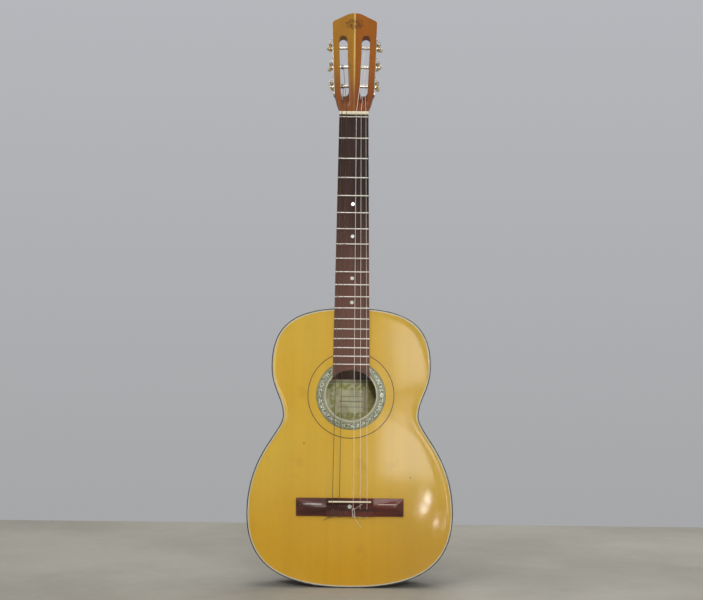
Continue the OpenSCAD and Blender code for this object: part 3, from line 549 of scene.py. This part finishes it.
def bound_edge(name):
    """Black binding whose corners are worn to the green-grey of old plastic."""
    paint = Paint(name)
    rub = paint.noise(paint.place, 75.0, 5.0, 0.7)
    colour = paint.mix(trim().dark_line, RUBBED_PLASTIC, rub.ramp(0.44, 0.70) * 0.85)
    paint.bump(rub, 0.3 * MM, 0.5)
    return paint.finish(
        Base_Color=colour, Roughness=0.26 + rub * 0.2, Coat_Weight=0.5, Coat_Roughness=0.12)


def metal(name, base, roughness, tarnish):
    """Plated metal with tarnish in clouds and a worn surface."""
    paint = Paint(name)
    cloud = paint.noise(paint.place, 210.0, 5.0, 0.66)
    fine = paint.noise(paint.place, 2600.0)
    colour = paint.mix(base, tarnish, cloud.ramp(0.48, 0.74) * 0.6)
    paint.bump(cloud * 0.6 + fine * 0.25, 0.05 * MM, 0.7)
    return paint.finish(
        Base_Color=colour, Metallic=1.0 - cloud.ramp(0.62, 0.80) * 0.35,
        Roughness=roughness + cloud * 0.25)


def pearl():
    """Pearl dots: pale shell with soft green and pink clouds."""
    paint = Paint("pearl_shell")
    cloud = paint.noise(paint.place, 420.0, 3.0, 0.6)
    colour = paint.mix(SHELL_PALE, SHELL_GREEN, cloud.ramp(0.35, 0.65))
    pink = paint.noise(paint.place, 700.0).ramp(0.55, 0.7)
    colour = paint.mix(colour, SHELL_PINK, pink * 0.4)
    return paint.finish(
        Base_Color=colour, Roughness=0.16 + cloud * 0.1, Coat_Weight=0.6, Coat_Roughness=0.08)


def nylon():
    """Clear nylon, cloudy along its length."""
    paint = Paint("clear_nylon")
    cloud = paint.grain(40.0, 40.0, 40.0)
    colour = paint.shade(trim().nylon, 0.86 + cloud * 0.2)
    return paint.finish(
        Base_Color=colour, Roughness=0.18 + cloud * 0.1, Coat_Weight=0.4, Coat_Roughness=0.1)


def winding():
    """Tarnished wire wound round a core: fine turns across the string, dark in between."""
    paint = Paint("wound_wire")
    wire = 0.42 * MM
    turns = ((paint.z + paint.x * 0.35) * (2 * math.pi / wire)).sine() * 0.5 + 0.5
    cloud = paint.noise(paint.place, 60.0, 4.0, 0.6)
    colour = paint.mix(WINDING_GAP, trim().bronze, turns * 0.7 + cloud * 0.3)
    paint.bump(turns, 0.10 * MM, 0.8)
    return paint.finish(
        Base_Color=colour, Metallic=0.85 - cloud * 0.4, Roughness=0.34 + cloud * 0.25)


def rosette_mosaic():
    """Rings round the hole: pale lip, fine stripes, shell chips with dark diamonds, clouded rim."""
    paint = Paint("rosette_mosaic")
    up = paint.z - HOLE_Z
    far = (paint.x * paint.x + up * up).root() / MM
    arc = paint.x.bearing(up) * MOSAIC_R
    flat = paint.vector(arc, far, 0.0)
    chip = paint.chance(flat, 1.0)
    glint = paint.cells(flat, 1.0)
    cloud = paint.noise(paint.place, 120.0, 3.0)
    patch = paint.noise(paint.place, 45.0)
    shell = (chip + patch * 0.7).ramp(0.92, 1.15)
    chips = paint.mix(CHIP_OLIVE, CHIP_PALE, shell)
    chips = paint.mix(chips, CHIP_DARK, chip.ramp(0.22, 0.12) * 0.8)
    diamond = abs(arc.past(DIAMOND_GAP) - DIAMOND_GAP / 2) + abs(far - DIAMOND_R)
    chips = paint.mix(chips, DIAMOND_BLACK, diamond.ramp(1.6, 1.1))
    stripe = (far * 5.6).sine() * 0.5 + 0.5
    inner = paint.mix(INNER_DARK, INNER_PALE, stripe * 0.6 + cloud * 0.5)
    outer = paint.mix(OUTER_DARK, OUTER_PALE, cloud.ramp(0.35, 0.65) * 0.7 + stripe * 0.3)
    on_chips = far.band(CHIPS_START, CHIPS_END, 0.2)
    dark_lines = far.band(CHIPS_START - 0.5, CHIPS_START, 0.2)
    dark_lines = dark_lines + far.ramp(RIM_LINE - 0.2, RIM_LINE + 0.2)
    colour = paint.mix(inner, LIP_PALE, far.ramp(LIP_END + 0.2, LIP_END - 0.2))
    colour = paint.mix(colour, chips, on_chips)
    colour = paint.mix(colour, outer, far.ramp(CHIPS_END, CHIPS_END + 0.4))
    colour = paint.mix(colour, RIM_DARK, dark_lines)
    paint.bump(glint * on_chips * 0.6 + cloud * 0.3, 0.3 * MM, 0.6)
    return paint.finish(
        Base_Color=colour, Roughness=0.24 + cloud * 0.12, Specular_IOR_Level=0.3, Coat_Weight=0.5,
        Coat_Roughness=0.10, Metallic=on_chips * shell * 0.3)


def printed_paper():
    """A yellowed paper label printed with a frame, leaves and plain ruled lines, and no words."""
    paint, t = Paint("printed_label"), trim()
    low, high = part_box("label")
    middle, half_high, half_wide = (low.z + high.z) / 2, (high.z - low.z) / 2, high.x
    across, up = paint.x / half_wide, (paint.z - middle) / half_high
    cloud = paint.noise(paint.place, 70.0, 4.0, 0.6)
    leaf = paint.noise(paint.vector(paint.x * 150.0, 2.0, paint.z * 150.0), 1.0, 3.0, 0.6)
    high_bands = abs(up).band(0.52, 0.80, 0.06)
    side_bands = abs(across).band(0.62, 0.80, 0.05) * (abs(up) < 0.8)
    border = high_bands.larger(side_bands)
    colour = paint.mix(t.paper, PAPER_AGED, cloud.ramp(0.42, 0.75) * 0.6)
    colour = paint.mix(colour, t.leaf, border * leaf.ramp(0.40, 0.56) * 0.9)
    frame_line = abs(up).band(0.86, 0.90, 0.01) * (abs(across) < 0.9)
    colour = paint.mix(colour, FRAME_INK, frame_line * 0.8)
    rules = up.band(0.20, 0.23, 0.01) + up.band(-0.04, 0.02, 0.012) + up.band(-0.28, -0.25, 0.01)
    rules = rules * abs(across).ramp(0.46, 0.44)
    colour = paint.mix(colour, RULE_INK, rules * 0.6)
    stain = paint.noise(paint.vector(paint.x + 0.7, 0.0, paint.z), 24.0, 3.0).ramp(0.50, 0.70)
    colour = paint.mix(colour, PAPER_STAIN, stain * 0.4)
    # Painted shadow: the label's treble side is darkened to olive, where the hole's rim shades it.
    colour = paint.mix(colour, LABEL_SHADOW_OLIVE, paint.x.ramp(0.016, 0.026) * 0.6)
    paint.bump(cloud, 0.3 * MM, 0.4)
    return paint.finish(Base_Color=colour, Roughness=0.62 + cloud * 0.2)


# ---------- mesh making ----------


def gather(items, key, kind, width=1):
    """One property of all a mesh's vertices, edges, loops or faces, as an array."""
    values = np.zeros(len(items) * width, kind)
    items.foreach_get(key, values)
    return values if width == 1 else values.reshape(-1, width)


def node_points(node):
    """A node's own vertices as an array, in metres."""
    return gather(NODES[node].data.vertices, "co", np.float32, 3).astype(float)


def grid_faces(rows, columns, close_rows, close_columns):
    """Quads over a grid of points, joined round its rows or columns where asked."""
    i, j = np.meshgrid(np.arange(rows if close_rows else rows - 1),
                       np.arange(columns if close_columns else columns - 1), indexing="ij")
    i, j = i.ravel(), j.ravel()
    down, right = (i + 1) % rows, (j + 1) % columns
    return np.stack([i * columns + j, i * columns + right,
                     down * columns + right, down * columns + j], 1)


def surface(name, points, faces):
    """A closed mesh from an array of points and quads, doubles merged and faces turned outwards."""
    mesh = bpy.data.meshes.new(name)
    mesh.from_pydata(points.reshape(-1, 3).tolist(), [], faces.tolist())
    work = bmesh.new()
    work.from_mesh(mesh)
    bmesh.ops.remove_doubles(work, verts=work.verts, dist=1e-6)
    bmesh.ops.holes_fill(work, edges=work.edges, sides=0)
    bmesh.ops.recalc_face_normals(work, faces=work.faces)
    work.to_mesh(mesh)
    work.free()
    return mesh


def settle(name, mesh, material, body, replaced, smooth_angle):
    """Gives a mesh its object, smoothing, material and body, and hides the nodes that it stands
    for.
    """
    mesh.shade_smooth()
    mesh.set_sharp_from_angle(angle=math.radians(smooth_angle))
    piece = bpy.data.objects.new(name, mesh)
    bpy.context.scene.collection.objects.link(piece)
    mesh.materials.clear()
    mesh.materials.append(material)
    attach(piece, body)
    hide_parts(*replaced)
    return piece


def polished(node, material, round_by=0.0, segments=2, angle=32.0, keep=None):
    """
    A merged copy of a frame node, smooth where its faces meet under the angle in degrees. With a
    radius, its sharper edges are rounded, except those for which keep says True.
    """
    mesh = NODES[node].data.copy()
    mesh.name = f"{node}_finish"
    work = bmesh.new()
    work.from_mesh(mesh)
    bmesh.ops.remove_doubles(work, verts=work.verts, dist=5e-6)
    bmesh.ops.dissolve_limit(
        work, angle_limit=math.radians(0.5), verts=work.verts, edges=work.edges)
    bmesh.ops.recalc_face_normals(work, faces=work.faces)
    work.to_mesh(mesh)
    work.free()
    piece = settle(mesh.name, mesh, material, NODES[node]["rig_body"], (node,), angle)
    if round_by:
        weigh_edges(mesh, angle, keep)
        bevel = piece.modifiers.new("rounded", "BEVEL")
        bevel.width, bevel.segments, bevel.limit_method = round_by, segments, "WEIGHT"
        bevel.use_clamp_overlap, bevel.miter_outer = True, "MITER_ARC"
        bevel.harden_normals = True
    return piece


def weigh_edges(mesh, angle, keep):
    """Marks the edges to round: those where two faces' normals part by more than the angle."""
    normals = gather(mesh.polygons, "normal", np.float32, 3)
    loop_edge = gather(mesh.loops, "edge_index", np.int32)
    loop_total = gather(mesh.polygons, "loop_total", np.int32)
    loop_face = np.repeat(np.arange(len(loop_total)), loop_total)
    order = np.argsort(loop_edge, kind="stable")
    edge, face = loop_edge[order], loop_face[order]
    first = np.flatnonzero(np.r_[True, edge[1:] != edge[:-1]])
    two = first[np.diff(np.r_[first, len(edge)]) == 2]
    dot = (normals[face[two]] * normals[face[two + 1]]).sum(1)
    weights = np.zeros(len(mesh.edges), np.float32)
    weights[edge[two[dot < math.cos(math.radians(angle))]]] = 1.0
    if keep is not None:
        points = gather(mesh.vertices, "co", np.float32, 3)
        weights[keep(points[gather(mesh.edges, "vertices", np.int32, 2)])] = 0.0
    mesh.attributes.new("bevel_weight_edge", "FLOAT", "EDGE").data.foreach_set("value", weights)


def dress(material, *nodes):
    """Gives frame nodes whose own shape is right a finish."""
    for node in nodes:
        mesh = NODES[node].data
        mesh.materials.clear()
        mesh.materials.append(material)


# ---------- the sound box ----------


def outline_round(node, middle_z):
    """
    The angles and radii of a plate's outline round a middle point. The back has no hole, so its
    outline guides the choice of the node's outer points.
    """

    def polar(points):
        x, z = points[:, 0], points[:, 2] - middle_z
        return np.arctan2(x, z), np.hypot(x, z)

    guide_angle, guide_radius = polar(node_points("back"))
    guide_angle, first = np.unique(guide_angle.round(6), return_index=True)
    guide_radius = guide_radius[first]
    points = node_points(node)
    angle, radius = polar(points[np.abs(points[:, 1] - points[:, 1].min()) < 1e-5])
    outer = radius > np.interp(angle, guide_angle, guide_radius, period=2 * math.pi) - 8 * MM
    angle, first = np.unique(angle[outer].round(6), return_index=True)
    even = np.linspace(-math.pi, math.pi, 181)[:-1]
    angles = np.unique(np.r_[angle, even].round(4))
    return angles, np.interp(angles, angle, radius[outer][first], period=2 * math.pi)


def plate(name, node, middle_z, stations, front, material, outwards):
    """
    A plate as a surface of angle and station. At each angle round the middle point, a closed
    section runs over stations: those given as (radius, depth), and then some spaced along the ray
    to the outline. Beside the outline the face sinks by dish * q * exp(1 - q), where q is the
    distance from the edge over the dish's reach, and the dish varies round the plate in slow waves.
    """
    s = sizes()
    low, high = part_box(node)
    thick = high.y - low.y
    angles, edge = outline_round(node, middle_z)
    shares = 1 - (1 - np.linspace(0, 1, 34)) ** 1.7
    fixed_r = np.array([r for r, _ in stations])
    fixed_d = np.array([d for _, d in stations])
    start = fixed_r[-1]
    ray = start + (edge[:, None] - start) * shares[None]
    q = (edge[:, None] - ray) / s.dish_reach
    swell = 1 + 0.45 * np.sin(3 * angles + 0.8) + 0.30 * np.sin(7 * angles + 2.0)
    sink = s.top_dish * swell[:, None] * q * np.exp(1 - q) * (q > 0)
    rows = len(angles)
    radius = np.concatenate([np.tile(fixed_r, (rows, 1)), ray, edge[:, None],
                             np.full((rows, 1), fixed_r[0])], 1)
    depth = np.concatenate([np.tile(fixed_d, (rows, 1)), sink, np.full((rows, 2), thick)], 1)
    y = front + outwards * depth
    points = np.stack([radius * np.sin(angles)[:, None], y,
                       middle_z + radius * np.cos(angles)[:, None]], 2)
    mesh = surface(name, points, grid_faces(rows, radius.shape[1], True, True))
    return settle(name, mesh, material, ROOT, (node,), 30.0)


def paddle(middle, across, through, along, start, end):
    """
    A tuner button as a surface of angle and distance along its shaft. Each section is a
    superellipse: half width times cosine and half thickness times sine, both to the power 2 / n,
    where n grows from 2 at the round collar to 3 in the paddle. The half width grows smoothly from
    the collar to the belly and then rounds off to the tip; each flat is dished a little.
    """
    s = sizes()
    half, thin, collar, neck = s.button_width / 2, s.button_thick / 2, 3.1 * MM, 1.2 * MM
    belly = (start + end) / 2 + 0.6 * MM
    to_tip = np.sin(np.linspace(0, math.pi / 2, 22))[1:]
    t = np.concatenate([np.linspace(start, belly, 18), belly + (end - belly) * to_tip])
    grow = np.clip((t - start - neck) / (belly - start - neck), 0, 1)
    grow = grow * grow * (3 - 2 * grow)
    tip = np.clip((t - belly) / (end - belly), 0, 1)
    wide = (collar + (half - collar) * grow) * (1 - tip ** 2.6) ** 0.5
    flat = (collar + (thin - collar) * grow) * (1 - tip ** 4.0) ** 0.5
    power = (2.0 + grow)[:, None]
    turn = np.linspace(0, 2 * math.pi, 48, endpoint=False)[None]
    cosine, sine = np.cos(turn), np.sin(turn)
    u = np.sign(cosine) * np.abs(cosine) ** (2 / power) * wide[:, None]
    v = np.sign(sine) * np.abs(sine) ** (2 / power) * flat[:, None]
    v = v * (1 - 0.16 * (grow * (1 - tip ** 2))[:, None] * np.exp(-(u / (half * 0.55)) ** 2))
    points = (np.array(middle) + u[..., None] * np.array(across) + v[..., None] * np.array(through)
              + t[:, None, None] * np.array(along))
    return points, grid_faces(len(t), 48, False, True)


# ---------- operators ----------


class PieceOperator(bpy.types.Operator):
    """Does an operator's work and reports it done."""

    bl_options = {"REGISTER", "UNDO"}

    def execute(self, context):
        self.work()
        return {"FINISHED"}


class GUITAR_OT_stage(PieceOperator):
    """Lays the pale floor, hangs the studio lights and sets up the camera"""

    bl_idname = "guitar.stage"
    bl_label = "Stage"

    def work(self):
        scene = bpy.context.scene
        scene.view_settings.view_transform = "Standard"
        floor_mesh = bpy.data.meshes.new("floor")
        back_edge, reach, drop = 0.785, 7.0, 0.3 * MM
        corners = ((-reach, -reach), (reach, -reach), (reach, back_edge), (-reach, back_edge))
        floor_mesh.from_pydata([(x, y, -drop) for x, y in corners], [], [(0, 1, 2, 3)])
        floor_mesh.materials.append(floor_finish())
        floor = bpy.data.objects.new("floor", floor_mesh)
        scene.collection.objects.link(floor)
        self.lights(scene)
        self.sky(scene)
        self.camera(scene)

    def camera(self, scene):
        """A camera in front of the guitar, turned by small angles in radians."""
        place, pitch, yaw, roll = (0.0, -2.6, 0.4457), 0.0163, -0.0003, 0.0108
        data = bpy.data.cameras.new("camera")
        data.sensor_width, data.lens = 36.0, 77.2
        data.clip_start, data.clip_end = 0.05, 60.0
        camera = bpy.data.objects.new("camera", data)
        scene.collection.objects.link(camera)
        turn = (Matrix.Rotation(-yaw, 3, "Z") @ Matrix.Rotation(math.pi / 2 + pitch, 3, "X")
                @ Matrix.Rotation(roll, 3, "Z"))
        camera.matrix_world = Matrix.Translation(place) @ turn.to_4x4()
        scene.camera = camera

    def lights(self, scene):
        """
        Area lights as (name, place, aim, width, height, spread in degrees, power). Those with a
        narrow spread are weak, and give the lacquer its gloss without lighting the floor.
        """
        middle, right = Vector((0, FACE_Y, 0.45)), Vector((0.13, FACE_Y, 0.2))
        edge = Vector((0.125, FACE_Y, 0.41))
        rows = (
            ("key", (-1.7, -3.2, 2.7), middle, 1.6, 1.2, 180, 47.0),
            ("fill", (1.25, -3.9, 1.15), middle, 1.1, 1.5, 180, 12.0),
            ("top", (0.3, -0.4, 3.2), middle, 2.0, 1.4, 180, 22.0),
            ("rear", (0.6, 2.8, 2.2), middle, 2.2, 1.6, 180, 40.0),
            ("flash", (0.12, -2.75, 1.0), middle, 0.3, 0.3, 180, 17.0),
            ("window", (0.33, -3.6, 0.36), edge, 0.28, 0.42, 40, 0.084),
            ("haze", (0.165, -1.2, 0.145), right, 0.18, 0.15, 40, 0.023),
            ("glare_edge", (0.29, -1.2, 0.42), edge, 0.025, 0.13, 40, 0.055),
            ("glare_streak", (0.168, -0.6, 0.090), right, 0.010, 0.018, 40, 0.0020),
            ("glare_tail", (0.156, -0.6, 0.066), right, 0.010, 0.016, 40, 0.0016),
            ("glare_low", (0.207, -0.6, 0.033), right, 0.012, 0.018, 40, 0.0016),
        )
        for name, place, target, wide, high, spread, power in rows:
            data = bpy.data.lights.new(name, "AREA")
            data.shape, data.size, data.size_y = "RECTANGLE", wide, high
            data.energy, data.color = power, LAMP_WHITE
            data.spread = math.radians(spread)
            lamp = bpy.data.objects.new(name, data)
            lamp.visible_camera = False
            scene.collection.objects.link(lamp)
            place = Vector(place)
            lamp.matrix_world = (Matrix.Translation(place)
                                 @ (target - place).to_track_quat("-Z", "Y").to_matrix().to_4x4())

    def sky(self, scene):
        """A grey all round, a little lighter above, and dimmer as a light than it is to look at."""
        world = bpy.data.worlds.new("studio")
        world.use_nodes = True
        scene.world = world
        nodes, links = world.node_tree.nodes, world.node_tree.links
        place = nodes.new("ShaderNodeTexCoord")
        split = nodes.new("ShaderNodeSeparateXYZ")
        links.new(place.outputs["Generated"], split.inputs[0])
        height = nodes.new("ShaderNodeMapRange")
        for index, value in enumerate((-0.12, 0.22, 0.0, 1.0)):
            height.inputs[index + 1].default_value = value
        links.new(split.outputs[2], height.inputs[0])
        tint = nodes.new("ShaderNodeMix")
        tint.data_type = "RGBA"
        links.new(height.outputs[0], tint.inputs[0])
        tint.inputs[6].default_value = SKY_LOW
        tint.inputs[7].default_value = SKY_HIGH
        links.new(tint.outputs[2], nodes["Background"].inputs["Color"])
        seen = nodes.new("ShaderNodeLightPath")
        strength = nodes.new("ShaderNodeMapRange")
        strength.inputs["To Min"].default_value = 0.62
        links.new(seen.outputs["Is Camera Ray"], strength.inputs[0])
        links.new(strength.outputs[0], nodes["Background"].inputs["Strength"])


def floor_finish():
    """Pale worn concrete: soft stains, scuffs and pits."""
    paint = Paint("pale_floor")
    cloud = paint.noise(paint.place, 1.6, 6.0, 0.62)
    grit = paint.noise(paint.place, 60.0, 4.0, 0.6)
    colour = paint.mix(FLOOR_DARK, FLOOR_PALE, cloud.ramp(0.34, 0.66))
    colour = paint.shade(colour, 0.88 + grit * 0.22)
    paint.bump(grit, 0.8 * MM, 0.4)
    return paint.finish(Base_Color=colour, Roughness=0.66 + grit * 0.2)


class GUITAR_OT_soundboard(PieceOperator):
    """Makes the dished spruce soundboard, recessed for its rosette and ring"""

    bl_idname = "guitar.soundboard"
    bl_label = "Soundboard"

    def work(self):
        hole_r = np.sort(np.hypot(*(node_points("rosette")[:, [0, 2]] - [0, HOLE_Z]).T))[0]
        stations = [(hole_r, INLAY_DEPTH), (ROSETTE_R, INLAY_DEPTH), (ROSETTE_R, 0.0),
                    (RING_R - RING_LINE, 0.0), (RING_R - RING_LINE, INLAY_DEPTH),
                    (RING_R, INLAY_DEPTH), (RING_R, 0.0)]
        plate("soundboard_finish", "soundboard", HOLE_Z, stations, FACE_Y, spruce_top(), 1)


class GUITAR_OT_back_and_sides(PieceOperator):
    """Makes the dished back and the two bent sides in figured veneer"""

    bl_idname = "guitar.back_and_sides"
    bl_label = "Back and sides"

    def work(self):
        veneer = figured_sides()
        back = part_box("back")[1].y
        plate("back_finish", "back", HOLE_Z, [(0.5 * MM, 0.0), (60 * MM, 0.0)], back, veneer, -1)
        for node in ("side_bass", "side_treble"):
            polished(node, veneer, angle=40.0)


class GUITAR_OT_binding(PieceOperator):
    """Rounds the dark bindings and sets the pale purfling beside them"""

    bl_idname = "guitar.binding"
    bl_label = "Bindings and purfling"

    def work(self):
        edge = bound_edge("worn_black_binding")
        for node in ("top_binding", "back_binding"):
            polished(node, edge, sizes().binding_round, 3, 50.0)
        ivory = plastic("ivory_purfling", trim().pale_line, 0.25, 0.3)
        polished("top_purfling", ivory, angle=50.0)


class GUITAR_OT_inside(PieceOperator):
    """Finishes the linings, blocks and braces inside the box in bare wood"""

    bl_idname = "guitar.inside"
    bl_label = "Inside"

    def work(self):
        dress(bare_wood(), "linings", "neck_block", "tail_block", "top_braces", "back_braces")
        dress(printed_paper(), "label")


class GUITAR_OT_rosette(PieceOperator):
    """Finishes the rosette's mosaic and the dark ring outside it"""

    bl_idname = "guitar.rosette"
    bl_label = "Rosette"

    def work(self):
        dress(rosette_mosaic(), "rosette")
        dress(plastic("black_ring", trim().dark_line, 0.3, 0.3), "rosette_ring")


class GUITAR_OT_bridge(PieceOperator):
    """Finishes the bridge, its saddle, bolt and pearl dot"""

    bl_idname = "guitar.bridge"
    bl_label = "Bridge"

    def work(self):
        polished("bridge", bridge_wood(), ROUND["bridge"], angle=14.0)
        polished("saddle", plastic("cream_saddle", trim().bone, 0.15, 0.35), ROUND["saddle"], 3)
        dress(metal("bolt_steel", trim().nickel, 0.35, BOLT_TARNISH), "bridge_bolt")
        polished("bridge_dot", pearl(), ROUND["dot"])


def on_lamination(ends):
    """True for edges that lie on the seams between the neck's middle strip and its halves."""
    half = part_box("neck_strip")[1].x
    return (np.abs(np.abs(ends[:, :, 0]) - half) < 0.02 * MM).all(1)


class GUITAR_OT_neck(PieceOperator):
    """Finishes the neck's two halves, its middle strip and the heel's cap"""

    bl_idname = "guitar.neck"
    bl_label = "Neck and head"

    def work(self):
        w, edge = wood(), sizes().wood_round
        rows = (("neck_bass", w.neck_gold, 0.0), ("neck_treble", w.neck_orange, 11.0),
                ("neck_strip", w.neck_strip, 23.0))
        for node, base, seed in rows:
            lacquer = neck_wood(f"{node}_lacquer", base, seed)
            polished(node, lacquer, edge, angle=40.0, keep=on_lamination)
        polished("heel_cap", bound_edge("black_heel_cap"), ROUND["heel_cap"])


class GUITAR_OT_fingerboard(PieceOperator):
    """Finishes the fingerboard, its frets and dots, and the nut"""

    bl_idname = "guitar.fingerboard"
    bl_label = "Fingerboard"

    def work(self):
        polished("fingerboard", fingerboard_wood(), ROUND["fingerboard"], angle=40.0)
        polished("frets", metal("fret_wire", trim().nickel, 0.26, FRET_TARNISH))
        dress(pearl(), "position_dots")
        polished("nut", plastic("cream_nut", trim().bone, 0.18, 0.38), ROUND["nut"])


class GUITAR_OT_tuners(PieceOperator):
    """Finishes the tuner plates, their screws, and each tuner's worm, gear and post"""

    bl_idname = "guitar.tuners"
    bl_label = "Tuners"

    def work(self):
        nickel = metal("plate_nickel", trim().nickel, 0.22, NICKEL_TARNISH)
        screw = metal("screw_nickel", trim().nickel, 0.30, NICKEL_TARNISH)
        bright = metal("post_nickel", trim().nickel, 0.18, NICKEL_TARNISH)
        brass = metal("gear_brass", trim().brass, 0.30, BRASS_TARNISH)
        for node in ("tuner_plate_bass", "tuner_plate_treble"):
            polished(node, nickel, ROUND["plate"])
        polished("plate_screws", screw, ROUND["screw"])
        for i in range(1, 7):
            polished(f"worm_{i}", bright, angle=50.0)
            polished(f"post_{i}", bright, ROUND["post"])
            polished(f"gear_{i}", brass, ROUND["gear"])


class GUITAR_OT_buttons(PieceOperator):
    """Makes the six cream tuner buttons"""

    bl_idname = "guitar.buttons"
    bl_label = "Tuner buttons"

    def work(self):
        cream = plastic("cream_buttons", trim().button, 0.16, 0.26)
        flare = math.asin(abs(JOINTS["roller_1_turn"]["axis"][2]) / math.cos(TILT))
        up_head = Vector((0, math.sin(TILT), math.cos(TILT)))
        for i, rest in enumerate(BUTTON_TURNS, 1):
            joint = JOINTS[f"tuner_{i}_turn"]
            side = -1 if i in BASS_TUNERS else 1
            along = Vector(joint["axis"])
            out = Vector((side * math.cos(flare), 0, 0)) - math.sin(flare) * up_head
            rise = Vector((side * math.sin(flare), 0, 0)) + math.cos(flare) * up_head
            turn = math.radians(rest)
            across = math.cos(turn) * out - math.sin(turn) * rise
            through = math.sin(turn) * out + math.cos(turn) * rise
            points, faces = paddle(joint["pos_m"], across, through, along, BUTTON_START, BUTTON_END)
            name = f"button_{i}_finish"
            mesh = surface(name, points, faces)
            settle(name, mesh, cream, f"tuner_{i}", (f"button_{i}",), 40.0)


class GUITAR_OT_strings(PieceOperator):
    """Smooths the three nylon strings, the two wound ones and the broken end of the fourth"""

    bl_idname = "guitar.strings"
    bl_label = "Strings"

    def work(self):
        clear, wire = nylon(), winding()
        for i in range(1, 7):
            string = polished(f"string_{i}", clear if i <= 3 else wire, angle=80.0)
            round_out = string.modifiers.new("round", "SUBSURF")
            round_out.levels = round_out.render_levels = sizes().string_levels


class GUITAR_PT_panel(bpy.types.Panel):
    """Lists the guitar's pieces and the values that shape them"""

    bl_idname = "GUITAR_PT_panel"
    bl_label = "Classical Guitar"
    bl_space_type = "VIEW_3D"
    bl_region_type = "UI"
    bl_category = "Guitar"

    def draw(self, context):
        for operator in OPERATORS:
            self.layout.operator(operator.bl_idname)
        for group in (wood(), trim(), sizes()):
            for name in group.bl_rna.properties.keys():
                if name not in ("rna_type", "name"):
                    self.layout.prop(group, name)


OPERATORS = (
    GUITAR_OT_stage,
    GUITAR_OT_soundboard,
    GUITAR_OT_back_and_sides,
    GUITAR_OT_binding,
    GUITAR_OT_inside,
    GUITAR_OT_rosette,
    GUITAR_OT_bridge,
    GUITAR_OT_neck,
    GUITAR_OT_fingerboard,
    GUITAR_OT_tuners,
    GUITAR_OT_buttons,
    GUITAR_OT_strings,
)
GROUPS = {"guitar_wood": GuitarWood, "guitar_trim": GuitarTrim, "guitar_sizes": GuitarSizes}


def register():
    for group in GROUPS.values():
        bpy.utils.register_class(group)
    for name, group in GROUPS.items():
        setattr(bpy.types.Scene, name, bpy.props.PointerProperty(type=group))
    for kind in (*OPERATORS, GUITAR_PT_panel):
        bpy.utils.register_class(kind)


def unregister():
    for kind in (GUITAR_PT_panel, *reversed(OPERATORS)):
        bpy.utils.unregister_class(kind)
    for name, group in GROUPS.items():
        delattr(bpy.types.Scene, name)
        bpy.utils.unregister_class(group)


def main():
    """Builds the guitar, one operator after another."""
    register()
    for operator in OPERATORS:
        group, call = operator.bl_idname.split(".")
        getattr(getattr(bpy.ops, group), call)()


if __name__ == "__main__":
    main()
